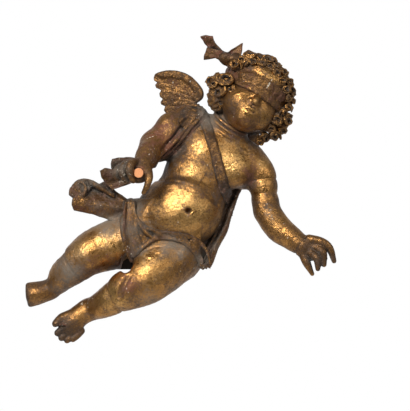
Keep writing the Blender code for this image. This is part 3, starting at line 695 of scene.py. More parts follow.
def carve_shoulder_cloth(clay, body):
    """Cloth over the right shoulder, rolled into four folds along the arm, with arcs of it at the neck."""

    def shoulder_thick(x, z, rim):
        turn = np.arctan2(z - 118, x - 12)
        return CLOTH * (1.0 + 0.5 * np.sin(14 * turn) + 0.2 * np.sin(31 * turn + 1))

    clay.lay(body, lambda x, z: outline_distance(x, z, SHOULDER_CLOTH), shoulder_thick, 12)
    roll = [(3, 110), (-2, 102), (-10, 92), (-20, 80), (-30, 69.5), (-38, 62)]
    for shift, size, rise in ((-5.4, 1.5, -0.2), (-2.2, 1.9, -1.8), (1.4, 1.8, -1.8), (4.6, 1.4, -0.6)):
        row = [(x + 0.72 * shift * wide, z - 0.7 * shift * wide) for (x, z), wide in zip(roll, ROLL_SPREAD)]
        clay.add(limb(on_skin(body, row, rise), size * ROLL_SPREAD), 0.5)
    for arc, size in (
        ([(-21, -4, 103), (-15, -9, 110.5), (-6, -10, 114), (3, -8, 110)], 2.0),
        ([(-20, -10, 98), (-14.5, -14, 105), (-6, -14, 109), (3, -11, 106)], 1.7),
        ([(-18, -14, 93), (-12, -17, 100), (-4, -17, 104), (4, -12, 101)], 2.2),
        ([(-13, -17, 91), (-8, -19, 96), (0, -16, 99)], 1.5),
    ):
        clay.add(limb(arc, np.linspace(0.8, 1.15, len(arc)) * size), 0.4)


def carve_mantle(clay):
    """The cloth behind the right shoulder, and its fall from under the left arm to the hip."""
    back = [(2, 26, 82), (-5, 20, 98), (-10, 8, 107), (-10, -5, 109)]

    def back_folds(u, s):
        return 1.2 * np.sin(8 * u + 2 * s)

    clay.add(strip(back, [10, 12, 12, 10], (0.75, 0, 0.55), CLOTH, back_folds), 1)

    def long_folds(u, s):
        return 1.5 * np.sin(8.0 * u + 2.5 * s) + 0.5 * np.sin(17 * u)

    mantle = [
        (41, 12, 44), (31.5, 8, 28), (24.5, 4, 9),
        (18, 1, -9), (10.5, -4, -25), (5, -12, -40), (3, -15, -46),
    ]
    halves = [10, 10, 10, 10, 9.5, 8, 6.5]
    clay.add(strip(mantle, halves, (0.9, -0.35, 0.25), CLOTH * 1.2, long_folds), 1)


def carve_drapery(clay, body):
    """The strap across the chest, and then each cloth."""

    def strap_thick(x, z, rim):
        return np.full(rim.shape, 0.7 * CLOTH)

    clay.lay(body, lambda x, z: band_distance(x, z, STRAP_LINE, 0.74 * STRAP), strap_thick, 0)
    carve_hip_cloth(clay, body)
    carve_flying_ends(clay)
    carve_shoulder_cloth(clay, body)
    carve_mantle(clay)


WING_TOP = (
    (38.4, 40.5), (36, 44.6), (25, 47.4), (13.4, 46.9), (1.4, 42.6), (-7.2, 35.3), (-13, 27.4), (-14, 21.7),
    (-11.8, 17.4), (-7, 14),
)
WING_TIPS = (
    (-3, 5), (0, -4), (14, -4), (20.6, 1.5), (25.5, 4), (27.6, 7), (26, 11), (30.5, 13), (31, 15.5),
    (28.6, 18.6), (31.4, 20.6), (32.4, 24), (30.2, 27.4), (35.8, 30), (36.8, 33), (34.4, 35.2), (38, 37.4),
)
QUILL_ENDS = np.radians((-80, -12.5, -6.0, -0.9, 4.0, 8.8, 13.6, 18.6, 90))


def carve_wing(clay, root, out, rise):
    """A small fan wing: a plate in the wing's outline, with a thick leading edge and a stump into the back.
    Feathers fan from a pivot near the root, each rounded as the square root of its share of the angle."""

    def half(a, b, rim):
        angle = np.arctan2(b - 12 - 0.10 * (a - 10) * (a < 10), a + 40)
        low = np.searchsorted(QUILL_ENDS, angle) - 1
        share = np.clip((angle - QUILL_ENDS[low]) / (QUILL_ENDS[low + 1] - QUILL_ENDS[low]), 0, 1)
        feather = np.sqrt(share) * (1 - share**9)
        top = np.clip((b - 15.5 - 0.64 * (a + 6)) / 3, 0, 1) + np.clip((-4 - a) / 3, 0, 1)
        edge = np.clip(top, 0, 1) * np.exp(-(((rim + 4) / 3.8) ** 4))
        vane = np.clip((a + 10) / 12, 0.25, 1)
        return FEATHER / 2 * (0.60 + 0.27 * feather * vane * (1 - edge) + 0.62 * edge)

    def lift(a, b):
        return 0.0012 * (a - 8) ** 2

    outline = np.vstack([smooth_path(WING_TOP, 3), WING_TIPS])
    clay.add(plaque(outline, lift, half, root, out, rise, (-9, 9), 0.8))
    foot = np.asarray(root, float)
    stump = [foot + 9 * unit(rise), foot + unit(rise) + (0, -1, 0), foot + (0, -9, -4)]
    clay.add(limb(stump, [4.4, 6.4, 8]), 4)


# Each part's outline, the root that its folds fan from, and its depth
BOW_END = (
    (0, 182.6), (6, 183.4), (13, 183), (15, 176), (20, 171), (26, 166), (22, 160), (15, 165), (9, 170),
    (5, 175),
)
BOW_LEFT = (
    (7, 171.3), (14, 170), (22, 168), (29, 161), (25, 156), (15, 160.5), (8, 159.5), (3.6, 158.6),
    (4.6, 165),
)
BOW_LOOP = ((24, 164), (31, 169.5), (42.5, 176), (42, 169), (40.4, 162.6), (34, 160), (26, 158))
BOW_PARTS = ((BOW_END, (24, 162), 14), (BOW_LEFT, (28, 160), 19), (BOW_LOOP, (24, 161), 17))


def carve_bow(clay):
    """The band's knot on the hair, with a flared end above, one to the left and a loop to the right."""
    clay.add(egg((25, -19, 161), (6.5, 6, 6)))
    clay.add(egg((34, -19, 160), (8, 7, 5)), 3)
    for outline, root, deep in BOW_PARTS:
        carve_flaps(clay, (outline, (root, 7, deep, 0.02, 0.085), 1.45, (4, 30), 1.0))
    clay.add(limb([(25, -18, 160), (31, -19, 155), (37, -21, 151)], [5, 4.6, 5]), 2)


# Surfaces


def to_world(places):
    """Carver's units as metres, with the wall at y = 0 and the bracket's middle at x = z = 0."""
    return (np.asarray(places) - BRACKET_AT - (0, TO_WALL, 0)) * UNIT


def surface_of(clay):
    """Points and quads where the field crosses nought, the quads facing out."""
    grid = openvdb.FloatGrid(float(FAR))
    grid.copyFromArray(clay.field)
    points, quads = grid.convertToQuads()
    points = points * clay.step + clay.low
    a, b, c, d = (points[quads[:, k]] for k in range(4))
    volume = (np.cross(b - a, c - a) * a).sum() + (np.cross(c - a, d - a) * a).sum()
    return points, quads if volume > 0 else quads[:, ::-1]


def object_of(name, points, faces, attributes=()):
    """A smooth mesh object of rows of points in carver's units and rows of faces of one size."""
    mesh = bpy.data.meshes.new(name)
    sides = faces.shape[1]
    mesh.vertices.add(len(points))
    mesh.vertices.foreach_set("co", to_world(points).astype(np.float32).ravel())
    mesh.loops.add(faces.size)
    mesh.loops.foreach_set("vertex_index", np.ascontiguousarray(faces, np.int32).ravel())
    mesh.polygons.add(len(faces))
    mesh.polygons.foreach_set("loop_start", np.arange(0, faces.size, sides, dtype=np.int32))
    mesh.update(calc_edges=True)
    mesh.shade_smooth()
    for key, values in attributes:
        layer = mesh.attributes.new(key, "FLOAT", "POINT")
        layer.data.foreach_set("value", np.asarray(values, np.float32))
    obj = bpy.data.objects.new(name, mesh)
    bpy.context.scene.collection.objects.link(obj)
    return obj


def normals_of(points, quads):
    """Each point's normal: the sum of its quads' diagonal cross products, made unit length."""
    cross = np.cross(points[quads[:, 2]] - points[quads[:, 0]], points[quads[:, 3]] - points[quads[:, 1]])
    normals = np.zeros_like(points)
    for k in range(4):
        for axis in range(3):
            normals[:, axis] += np.bincount(quads[:, k], cross[:, axis], len(points))
    return normals / (np.linalg.norm(normals, axis=1, keepdims=True) + 1e-9)


def hollow_at(points, normals, clay, reaches):
    """How shut in a place is: the share of each reach along the normal that other wood takes."""
    return np.mean([np.clip(1 - clay.read(points + normals * d) / d, 0, 1) for d in reaches], axis=0)


def ridge_at(points, normals, clay, depth):
    """How thin the wood is behind a place, which is where handling wears it."""
    return np.clip(1 + clay.read(points - normals * depth) / depth, 0, 1)


def wobble(points, waves, size):
    """The unevenness of hand carving: eight sine waves in fixed directions, about this long and deep."""
    rng = np.random.default_rng(3)
    total = np.zeros(len(points))
    for _ in range(8):
        way = unit(rng.normal(size=3)) / (waves * rng.uniform(0.6, 1.6))
        total += np.sin(2 * np.pi * (points @ way + rng.uniform()))
    return size * total / 2


def nearness(points, spots):
    """1 at named spots and falling off as a bell: rows of x, z, radius and strength in the front view."""
    total = np.zeros(len(points))
    for x, z, radius, strength in spots:
        away = (points[:, 0] - x) ** 2 + (points[:, 2] - z) ** 2
        total = np.maximum(total, strength * np.exp(-away / radius**2))
    return total


# Front-view x, z, radius and strength: bright spots of painted highlight and rubbed gold, dim spots of
# painted shade and dull gilding, red spots of red clay and of a painted warm reflection, then dust and chips
BRIGHT_SPOTS = (
    (-14, 14, 32, 1.0), (0, 8, 12, 0.5), (-8, 44, 24, 0.6), (-1, 72, 12, 0.9), (30, 60, 22, 1.35),
    (-7, 49, 17, 0.9), (-90, -24, 24, 0.85), (-50, -46, 25, 0.6), (-122, 20, 8, 0.4), (48, 102, 20, 0.75),
    (64, 38, 15, 0.6), (82, -4, 15, 0.35), (-86, -74, 17, 1.0), (-118, -30, 11, 0.9), (-130, -37, 6, 0.6),
    (35, 92, 14, 0.8), (69, 143, 12, 0.6), (-40, 84, 16, 0.3), (62, 56, 10, 0.8), (-118, -92, 8, 0.6),
)
DIM_SPOTS = (
    (42, 97, 9, 1.0), (31, 112, 11, 0.8), (28, 106, 7, 0.6), (48, 42, 9, 1.0), (76, 34, 8, 0.9),
    (78, 18, 8, 0.9), (75, 52, 8, 0.6), (53, 20, 5, 0.6), (116, -34, 18, 1.6), (-136, -108, 15, 2.3),
    (-130, -56, 16, 0.6), (-64, 44, 18, 0.7), (-38, 90, 22, 0.6), (-50, 66, 14, 0.5), (48, 94, 12, 0.9),
    (12, -10, 14, 0.4), (-16, 69, 9, 0.9), (-24, 60, 12, 1.0), (-36, 52, 9, 0.9), (11, 80, 6, 0.8),
    (15.5, 65, 6, 0.7), (19, 50, 6, 0.7), (24, 34, 7, 0.8), (-80, 52, 16, 1.5), (-176, -84, 10, 1.0),
    (-98, -40, 12, 0.9), (-84, -42, 9, 0.6), (-118, -47, 9, 0.6), (-68, -66, 9, 0.8), (-160, -66, 10, 0.4),
    (-20, -62, 16, 0.3), (38, 92, 8, 0.4), (-176, -76, 9, 1.0), (-30, 30, 11, 0.7), (2, 24, 6, 0.3),
    (-12, 28, 5, 0.6), (-104, -80, 8, 0.3),
)
# Red clay showing through; the spot at x 40, z 96 under the chin is a painted warm reflection
RED_SPOTS = (
    (48, 44, 10, 0.8), (-42, 86, 20, 1.0), (-54, 68, 11, 0.8), (40, 96, 12, 0.6), (-78, -52, 8, 0.9),
    (-70, -64, 8, 0.9), (-104, -42, 14, 0.7), (-20, 20, 8, 0.4), (26, 146, 9, 0.7), (84, 120, 12, 0.3),
    (-96, -38, 12, 0.5), (80, -12, 10, 0.4),
)
DUST_SPOTS = (
    (-20, -30, 11, 1.0), (-33, -27, 9, 0.9), (0, -38, 9, 0.7), (-92, -3, 16, 1.3), (-62, 14, 9, 0.9),
    (5, 107, 9, 1.0), (-80, 50, 12, 0.5), (-118, -94, 7, 0.3), (118, -36, 12, 0.3), (20, -26, 8, 0.7),
    (-110, 36, 14, 0.6), (-118, -36, 10, 0.7), (-131, -52, 16, 1.3), (-144, -64, 8, 0.7),
    (-66, -8, 13, 0.6), (-56, -28, 12, 0.5), (-48, -12, 10, 0.3), (8, 98, 9, 0.9), (-28, -24, 9, 1.0),
    (-50, -78, 12, 0.7), (-22, -74, 12, 0.7), (4, -56, 9, 0.6), (68, 8, 7, 0.5), (-100, 10, 12, 0.7),
)
CHIP_SPOTS = (
    (-48, 84, 9, 0.7), (-30, 88, 8, 0.5), (-46, 66, 10, 0.5), (-14, 104, 9, 0.5), (-4, 110, 8, 0.4),
    (-12, 28, 5, 0.9), (-72, 46, 12, 0.9), (-76, -32, 10, 0.9), (53, 160, 8, 0.6), (-116, -84, 7, 0.8),
    (-134, -100, 12, 0.4), (68, 10, 9, 0.7), (22, 62, 8, 0.4), (0, -46, 7, 0.6),
)
# Lines in the front view with the width and depth of the dark painted along them: a crack in the chest,
# then painted shade along the belly's fold and the groove by the arm; and one line of chips
CRACK_AND_SHADE_LINES = (
    (((5.8, 46.7), (3.4, 42.5), (1.2, 38.8), (-1.7, 35)), 0.75, 1.0),
    (((-26, 39), (-12, 36.5), (0, 31.5), (9, 25), (17, 16)), 1.9, 0.42),
    (((-17, 110), (-15, 100), (-19, 92), (-28, 81), (-37, 70)), 1.6, 0.5),
)
WHITE_CHIPS = (((71, 139), (69.2, 135.5), (66, 130.5)),)


def carved(name, clay, shade, glow=1.0, uneven=(22, 0.22)):
    """A piece of the figure, with its hollows, ridges, bright and dim places and chipped places for the
    gilding, which paints shade in the hollows and at the dim places, and highlights at the bright ones.
    """
    points, quads = surface_of(clay)
    normals = normals_of(points, quads)
    fine = hollow_at(points, normals, clay, (1.6, 3.2))
    chips = nearness(points, CHIP_SPOTS)
    in_front = points[:, 1] < 0
    for dark_line, width, depth in CRACK_AND_SHADE_LINES:
        away = band_distance(points[:, 0], points[:, 2], dark_line, 0)
        fine = np.maximum(fine, depth * np.exp(-((away / width) ** 2)) * in_front)
    for chip in WHITE_CHIPS:
        away = band_distance(points[:, 0], points[:, 2], chip, 0)
        chips = np.maximum(chips, 2.6 * np.exp(-((away / 0.75) ** 2)) * in_front)
    attributes = (
        ("crease", fine),
        # How much all the wood shuts each place in: the gilding darkens it as painted shade, between pieces
        # too
        ("hollow", hollow_at(points, normals, shade, (5, 10, 20))),
        ("ridge", ridge_at(points, normals, clay, 2.5)),
        # Painted highlight at the bright spots, as well as rubbed gold, less painted shade at the dim spots
        ("bright", glow * nearness(points, BRIGHT_SPOTS) - 0.6 * nearness(points, DIM_SPOTS)),
        ("chipped", chips),
        ("dusty", nearness(points, DUST_SPOTS)),
        ("reddish", nearness(points, RED_SPOTS)),
    )
    waves, size = uneven
    rough = wobble(points, waves, size) + wobble(points, 0.35 * waves, 0.15 * size)
    points = points + normals * rough[:, None]
    obj = object_of(name, points, quads, attributes)
    if 2 * len(quads) > MOST_TRIANGLES:
        thin = obj.modifiers.new("Thin", "DECIMATE")
        thin.ratio = MOST_TRIANGLES / (2 * len(quads))
    return obj


CURL_WINDINGS = 1.75


def curl_mesh(centres, axes, sizes, turns, hands):
    """Snail curls, all at once: each is a grooved tube wound inwards on an oval across its axis. The winding
    narrows evenly, and its outer end swings wide and sinks into the hair. Rows run along, columns round."""
    along, around = 42, 15
    t = np.linspace(0, 1, along)
    phi = np.linspace(0, 2 * np.pi, around, endpoint=False)
    a = np.cross(axes, (0.3, 0.5, 0.8))
    a /= np.linalg.norm(a, axis=1, keepdims=True)
    b = np.cross(axes, a)
    angle = hands[:, None] * (2 * np.pi * CURL_WINDINGS * t) + turns[:, None]
    radial = 1.14 * np.cos(angle)[..., None] * a[:, None] + 0.88 * np.sin(angle)[..., None] * b[:, None]
    lead = np.clip(1 - t / 0.30, 0, 1) ** 2
    radius = sizes[:, None] * (0.80 - 0.46 * t + 0.55 * lead)
    rise = sizes[:, None] * (0.12 + 0.30 * t - 0.55 * t**4 - 0.65 * lead)
    path = centres[:, None] + radius[..., None] * radial + rise[..., None] * axes[:, None]
    swell = np.sqrt(np.clip(1 - (2 * t - 1) ** 10, 0, 1))
    thick = sizes[:, None] * (0.34 - 0.14 * t) * (0.04 + 0.96 * swell)
    strands = 1 + 0.15 * np.cos(5 * phi + 9 * t[:, None])
    ring_r = thick[..., None] * strands
    outwards = (ring_r * np.cos(phi))[..., None] * radial[:, :, None]
    upwards = (ring_r * np.sin(phi))[..., None] * axes[:, None, None]
    points = path[:, :, None] + outwards + upwards
    groove = np.broadcast_to(0.5 - 0.5 * np.cos(5 * phi + 9 * t[:, None]), ring_r.shape)
    inner = np.broadcast_to(np.clip(-np.cos(phi), 0, 1) * (0.35 + 0.65 * t[:, None]), ring_r.shape)
    grid = np.arange(ring_r.size).reshape(ring_r.shape)
    nxt = np.roll(grid, -1, 2)
    quads = np.stack([grid[:, :-1], grid[:, 1:], nxt[:, 1:], nxt[:, :-1]], -1).reshape(-1, 4)
    quads = quads.reshape(len(centres), -1, 4)
    quads[hands < 0] = quads[hands < 0][:, :, ::-1]
    # How shut in each point is, by the strand grooves and the inner side of the turn; the gilding paints it
    # as shade
    shut = np.clip(0.35 * groove + 1.1 * inner, 0, 1.3)
    ends = [(grid[:, 0], -1), (grid[:, -1], 1)]
    return points.reshape(-1, 3), quads.reshape(-1, 4), ends, shut.ravel()


# Materials


class Wire:
    """A shader socket that arithmetic works on."""

    def __init__(self, tree, socket):
        self.tree, self.socket = tree, socket

    def math(self, operation, *others, flip=False):
        node = self.tree.nodes.new("ShaderNodeMath")
        node.operation = operation
        values = [self, *others]
        if flip:
            values.reverse()
        for slot, value in zip(node.inputs, values):
            if isinstance(value, Wire):
                self.tree.links.new(value.socket, slot)
            else:
                slot.default_value = value
        return Wire(self.tree, node.outputs[0])

    def __add__(self, other):
        return self.math("ADD", other)

    __radd__ = __add__

    def __sub__(self, other):
        return self.math("SUBTRACT", other)

    def __rsub__(self, other):
        return self.math("SUBTRACT", other, flip=True)

    def __mul__(self, other):
        return self.math("MULTIPLY", other)

    __rmul__ = __mul__

    def clamp(self):
        self.socket.node.use_clamp = True
        return self

    def step(self, low, high):
        """0 below low and 1 above high, with a straight run between."""
        return ((self - low) * (1 / (high - low))).clamp()


class Nodes:
    """A node tree whose nodes are made by one call each."""

    def __init__(self, tree):
        self.tree = tree

    def feed(self, socket, value):
        if isinstance(value, Wire):
            self.tree.links.new(value.socket, socket)
        else:
            socket.default_value = value

    def node(self, kind, settings=None, out=0, numbered=(), **named):
        """A node of a kind: its settings are set first, then the values or wires of its sockets, the numbered
        ones in order from the first and the others by name."""
        node = self.tree.nodes.new("ShaderNode" + kind)
        for key, value in (settings or {}).items():
            setattr(node, key, value)
        for key, value in (*enumerate(numbered), *named.items()):
            self.feed(node.inputs[key.replace("_", " ") if isinstance(key, str) else key], value)
        return Wire(self.tree, node.outputs[out])


class Finish(Nodes):
    """A material with one Principled shader."""

    def __init__(self, name):
        self.material = bpy.data.materials.new(name)
        self.material.use_nodes = True
        super().__init__(self.material.node_tree)
        self.shader = self.tree.nodes["Principled BSDF"]

    def set(self, **values):
        for key, value in values.items():
            self.feed(self.shader.inputs[key.replace("_", " ")], value)

    def place(self):
        """Object coordinates."""
        return self.node("TexCoord", out=3)

    def attribute(self, name):
        return self.node("Attribute", {"attribute_name": name}, out=2)

    def noise(self, scale, detail=4.0, rough=0.6, stretch=None):
        place = self.place()
        if stretch:
            place = self.node("Mapping", Vector=place, Scale=stretch)
        return self.node("TexNoise", Vector=place, Scale=scale, Detail=detail, Roughness=rough)

    def blend(self, share, first, second):
        """Two colours mixed by a share."""
        first, second = (colour if isinstance(colour, Wire) else (*colour, 1) for colour in (first, second))
        mix = self.node("Mix", {"data_type": "RGBA"}, out=2, numbered=(share,))
        for slot, colour in ((6, first), (7, second)):
            self.feed(mix.socket.node.inputs[slot], colour)
        return mix


GOLD = (0.74, 0.43, 0.15)
DEEP_GOLD = (0.41, 0.203, 0.062)
GLAZE = (0.103, 0.054, 0.025)
# Near black: soot, and the painted shade of the deepest creases
SOOT_AND_SHADE = (0.030, 0.020, 0.014)
RED_CLAY = (0.22, 0.070, 0.035)
GESSO = (0.72, 0.62, 0.48)
DUST = (0.26, 0.225, 0.18)


def gilding(name, brown, chips=1.0, red=0.0, stipple=1.0):
    """Worn water gilding. A brown glaze lies over the gold, by the share brown: thick in creases, in hollows
    and at dim spots, where it is painted shade as well as glaze, and rubbed through on the bright places,
    which are painted highlights as well as wear. Red clay and then white gesso show at losses."""
    f = Finish(name)
    names = ("crease", "hollow", "ridge", "bright", "chipped", "dusty", "reddish")
    crease, hollow, ridge, bright, chipped, dusty, reddish = map(f.attribute, names)
    clouds = f.noise(13.0, 4.0, 0.62)
    mottle = f.noise(60.0, 6.0, 0.75)
    specks = f.noise(360.0, 3.0, 0.7)
    grain = (clouds - 0.5) * 1.1 + (mottle - 0.5) * 2.4 + (specks - 0.5) * (1.3 + 0.7 * stipple)

    # Glaze and soot over the gold, which in creases, hollows and dim spots are painted shade as well, and the
    # pits that keep them
    cover_and_shade = brown + crease * 0.95 + hollow * 0.55 - bright * 0.80 + grain
    glaze_and_shade = cover_and_shade.step(0.05, 0.85)
    soot_and_shade = (cover_and_shade + crease * 0.5).step(0.85, 1.7)
    # Rubbed gold: brighter at the bright spots, where it is painted highlight as well as wear, and deep gold
    # in creases, where it is painted shade
    rub_and_highlight = (bright * 0.8 + grain * 0.8 - crease).step(0.10, 0.95)
    colour = f.blend(rub_and_highlight, DEEP_GOLD, GOLD)
    colour = f.blend(glaze_and_shade * 0.9, colour, GLAZE)
    colour = f.blend(soot_and_shade, colour, SOOT_AND_SHADE)
    pits = f.noise(330.0, 5.0, 0.8)
    pitted = (pits + (mottle - 0.5) * 0.8 + (clouds - 0.5) * 0.4).step(0.51, 0.64) * 0.72
    colour = f.blend(pitted, colour, GLAZE)

    # Red clay where the gold is worn and, under the chin, as a painted warm reflection, dust in hollows, and
    # gesso where flakes are gone
    red_at = (mottle * 0.6 + specks * 0.4 + ridge * 0.10 + reddish * 0.12 + red).step(0.57, 0.67) * 0.7
    colour = f.blend(red_at, colour, RED_CLAY)
    powder = (clouds - 0.5) * 0.8 + (mottle - 0.5) * 1.3 + (specks - 0.5) * 1.1
    dust = (hollow * 0.45 + dusty * 0.8 + powder).step(0.15, 1.2) * 0.75
    colour = f.blend(dust, colour, DUST)
    flakes = f.noise(260.0, 2.0, 0.5)
    loss = flakes * 0.66 + mottle * 0.34 + chipped * 0.085 * chips + ridge * 0.03
    gesso_at = loss.step(0.672, 0.69)
    colour = f.blend(gesso_at * 0.85, colour, GESSO)

    # How each layer shines, and its height
    bare = (red_at * 0.6 + gesso_at).clamp()
    metallic = ((1 - glaze_and_shade * 0.30 - soot_and_shade * 0.3) * (1 - bare) * (1 - dust * 0.8)).clamp()
    uneven = (specks - 0.5) * 0.35 + (mottle - 0.5) * 0.3
    roughness = (0.325 + glaze_and_shade * 0.15 + uneven + pitted * 0.2 + bare * 0.25 + dust * 0.3).clamp()
    lumps = f.node("Bump", Strength=0.25, Distance=0.0014, Height=clouds * 1.2 + mottle)
    pebbled = (clouds + mottle * 0.4).step(0.5, 0.8)
    pebbles = f.noise(170.0, 3.0, 0.62)
    height = mottle * 0.5 + pebbles * (pebbled * 3.0 + 1.2) + specks * 0.4
    height = height - pitted * 0.5 - gesso_at * 0.6 - red_at * 0.2
    bump = f.node("Bump", Strength=0.45 * stipple, Distance=0.0009, Height=height, Normal=lumps)
    f.set(Base_Color=colour, Metallic=metallic, Roughness=roughness, Normal=bump)
    return f.material


def fresh_wood():
    """Pale new dowel wood with rings across its end and fibres along it."""
    f = Finish("fresh_dowel")
    place = f.node("Mapping", Vector=f.place(), Location=(-0.034, 0.0, -0.1235))
    round_its_axis = {"wave_type": "RINGS", "rings_direction": "Y"}
    rings = f.node("TexWave", round_its_axis, Vector=place, Scale=130.0, Distortion=2.5, Detail=2.0)
    fibre = f.noise(160.0, 3.0, 0.6, (1, 0.06, 1))
    colour = f.blend(rings * 0.45 + fibre * 0.3, (0.90, 0.40, 0.17), (0.66, 0.23, 0.08))
    bump = f.node("Bump", Strength=0.25, Distance=0.0004, Height=fibre)
    f.set(Base_Color=colour, Roughness=0.62, Normal=bump)
    return f.material


def black_paint():
    f = Finish("bracket_black")
    worn = f.noise(60.0, 5.0, 0.65)
    f.set(
        Base_Color=f.blend(worn.step(0.5, 0.75) * 0.5, (0.012, 0.011, 0.010), (0.05, 0.045, 0.04)),
        Roughness=worn * 0.3 + 0.45,
        Normal=f.node("Bump", Strength=0.2, Distance=0.0006, Height=f.noise(220.0)),
    )
    return f.material


# Making the pieces


def dress(piece, material, slot, *nodes):
    piece.data.materials.append(material)
    if nodes:
        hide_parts(*nodes)
    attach(piece, "root")
    return piece


def curls_piece(material, curls):
    """Every curl of the hair in one mesh, with a closing point at both ends of each tube."""
    centres, axes, sizes = curls
    rng = np.random.default_rng(7)
    turns = rng.uniform(0, 2 * np.pi, len(centres))
    hands = rng.choice([-1.0, 1.0], len(centres))
    points, quads, ends, shut = curl_mesh(centres, axes, sizes, turns, hands)
    triangles = np.vstack([quads[:, [0, 1, 2]], quads[:, [0, 2, 3]]])
    for rim, way in ends:
        tips = len(points) + np.arange(len(centres))
        points = np.vstack([points, points[rim].mean(1)])
        shut = np.append(shut, np.ones(len(centres)))
        fans = np.stack([rim, np.roll(rim, -way, 1), np.broadcast_to(tips[:, None], rim.shape)], -1)
        fans[hands < 0] = fans[hands < 0][:, :, ::-1]
        triangles = np.vstack([triangles, fans.reshape(-1, 3)])
    zero = np.zeros(len(points))
    knife = np.column_stack([wobble(np.roll(points, k, 1), 5.0, 0.45) for k in range(3)])
    # The curls' grooves and inner turns take painted shade, and their outer sides painted highlight
    obj = object_of(
        "hair_curls",
        points + knife,
        triangles,
        (
            ("crease", shut),
            ("hollow", 0.5 * shut),
            ("ridge", zero),
            ("bright", 0.62 - 0.8 * shut),
            ("chipped", nearness(points, CHIP_SPOTS)),
            ("dusty", zero),
            ("reddish", zero),
        ),
    )
    return dress(obj, material, "dark_gilt")


def make_figure():
    """Each carving is a piece of its own, shaded by how all of them shut it in."""
    skin = gilding("gilt_skin", 0.42)
    dark = gilding("dark_gilt", 0.76, 1.1, -0.01, 1.8)
    band_gilt = gilding("band_gilt", 0.77, 1.0, -0.01, 1.8)
    bow_gilt = gilding("bow_gilt", 1.08, 0.6, 0.0, 1.2)
    hair_gilt = gilding("hair_gilt", 0.58, 0.9, 0.0, 1.8)
    wing_gilt = gilding("wing_gilt", 0.78, 0.6, -0.02, 1.8)
    curls = curl_places()
    shade = Clay(SHADE_GRAIN)
    carve_body(shade)
    carve_head(shade)
    cloth_shade = Clay(SHADE_GRAIN)
    carve_drapery(cloth_shade, shade)
    carve_blindfold(cloth_shade)
    carve_hair_cap(cloth_shade, ())
    shade.field = np.minimum(shade.field, cloth_shade.field)
    for wing in (RIGHT_WING, LEFT_WING):
        carve_wing(shade, *wing)

    body = Clay(SKIN_GRAIN)
    carve_body(body)
    dress(carved("body_skin", body, shade), skin, "gilt_skin", "putto")
    cloth = Clay(SKIN_GRAIN)
    carve_drapery(cloth, body)
    dress(carved("drapery", cloth, shade, 0.35, (12, 0.25)), dark, "dark_gilt")

    head = Clay(HEAD_GRAIN, *HEAD_BLOCK)
    carve_head(head)
    dress(carved("head", head, shade, 1.0, (14, 0.2)), skin, "gilt_skin")
    band = Clay(HEAD_GRAIN, *HEAD_BLOCK)
    carve_blindfold(band)
    dress(carved("blindfold", band, shade, 0.1, (9, 0.28)), band_gilt, "dark_gilt")
    cap = Clay(HEAD_GRAIN * 1.3, *HEAD_BLOCK)
    carve_hair_cap(cap, zip(*curls))
    dress(carved("hair", cap, shade, 0.0, (5, 0.6)), hair_gilt, "dark_gilt")
    curls_piece(hair_gilt, curls)

    for name, wing, block in (
        ("right_wing_feathers", RIGHT_WING, ((-62, 4, 92), (10, 54, 160))),
        ("left_wing_feathers", LEFT_WING, ((8, 4, 48), (86, 66, 130))),
    ):
        clay = Clay(WING_GRAIN, *block)
        carve_wing(clay, *wing)
        node = name.replace("_feathers", "")
        dress(carved(name, clay, shade, 0.0, (9, 0.08)), wing_gilt, "dark_gilt", node)
    bow = Clay(WING_GRAIN, (-6, -44, 142), (52, 2, 190))
    carve_bow(bow)
    dress(carved("bow", bow, shade, 0.0, (8, 0.25)), bow_gilt, "dark_gilt", "blindfold_bow")


def finish_nodes():
    for node, material in (("hand_dowel", fresh_wood()), ("wall_bracket", black_paint())):
        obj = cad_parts[node]
        obj.data.materials.clear()
        obj.data.materials.append(material)


# Studio

VIEW_CENTRE = (5.0, 14.5)
VIEW_HEIGHT = 411  # carver's units, the whole height of the picture
CAMERA_DISTANCE = 4.0  # metres, from the figure's middle
SENSOR = 0.036
FLOOR_AT = np.array([0.12, -0.12, -0.37])
FLOOR_RADIUS = 0.55
FLOOR_SIDES = 64


def make_camera():
    """Square on to the figure, with a long lens that takes in the frame's height at the figure's middle."""
    camera = bpy.data.cameras.new("camera")
    camera.sensor_width = SENSOR * 1000
    camera.lens = SENSOR * 1000 * CAMERA_DISTANCE / (VIEW_HEIGHT * UNIT)
    obj = bpy.data.objects.new("camera", camera)
    at = to_world((VIEW_CENTRE[0], 0, VIEW_CENTRE[1]))
    obj.location = (at[0], at[1] - CAMERA_DISTANCE, at[2])
    obj.rotation_euler = (np.pi / 2, 0, 0)
    bpy.context.scene.collection.objects.link(obj)
    bpy.context.scene.camera = obj


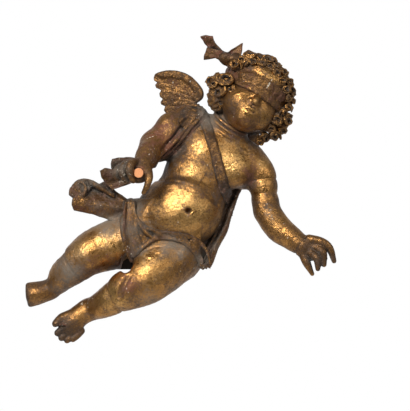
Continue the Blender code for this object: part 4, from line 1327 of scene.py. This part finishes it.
def area_light(name, at, aim, size, power, colour=(1, 1, 1)):
    light = bpy.data.lights.new(name, "AREA")
    light.shape = "RECTANGLE"
    light.size, light.size_y = size
    light.energy = power
    light.color = colour
    obj = bpy.data.objects.new(name, light)
    obj.location = at
    obj.rotation_euler = (Vector(aim) - Vector(at)).to_track_quat("-Z", "Y").to_euler()
    obj.visible_camera = False
    bpy.context.scene.collection.objects.link(obj)


def make_studio():
    """A pale floor and soft light: a big light in front, high on the left, a weak one on the right, and a
    room that is pale behind the figure and dim in front of it."""
    middle = (0.12, -0.12, 0.07)
    area_light("key", (-0.95, -2.4, 1.55), middle, (1.0, 1.0), 90, (1.0, 0.985, 0.96))
    area_light("side", (1.8, -1.6, 0.9), middle, (0.7, 1.4), 12)
    world = bpy.data.worlds.new("room")
    bpy.context.scene.world = world
    world.use_nodes = True
    tree = world.node_tree
    room = Nodes(tree)
    depth = room.node("SeparateXYZ", out=1, Vector=room.node("TexCoord"))
    strength = room.node("MapRange", numbered=(depth, -0.3, 0.9, 0.11, 0.75))
    dim = room.node("Background", Color=(0.88, 0.93, 1.0, 1), Strength=strength)
    white = room.node("Background", Color=(1, 1, 1, 1))
    shown = room.node("MixShader", numbered=(room.node("LightPath"), dim, white))
    tree.nodes.remove(tree.nodes["Background"])
    room.feed(tree.nodes["World Output"].inputs[0], shown)
    floor = Finish("floor")
    floor.set(Base_Color=(0.86, 0.86, 0.85, 1), Roughness=0.8)
    turn = np.linspace(0, 2 * np.pi, FLOOR_SIDES, endpoint=False)
    flat = np.column_stack([np.cos(turn), np.sin(turn), 0 * turn])
    mesh = bpy.data.meshes.new("floor")
    mesh.from_pydata((FLOOR_AT + FLOOR_RADIUS * flat).tolist(), [], [tuple(range(FLOOR_SIDES))])
    mesh.materials.append(floor.material)
    obj = bpy.data.objects.new("floor", mesh)
    bpy.context.scene.collection.objects.link(obj)


make_camera()
make_studio()
make_figure()
finish_nodes()
bpy.context.scene.view_settings.view_transform = "Standard"
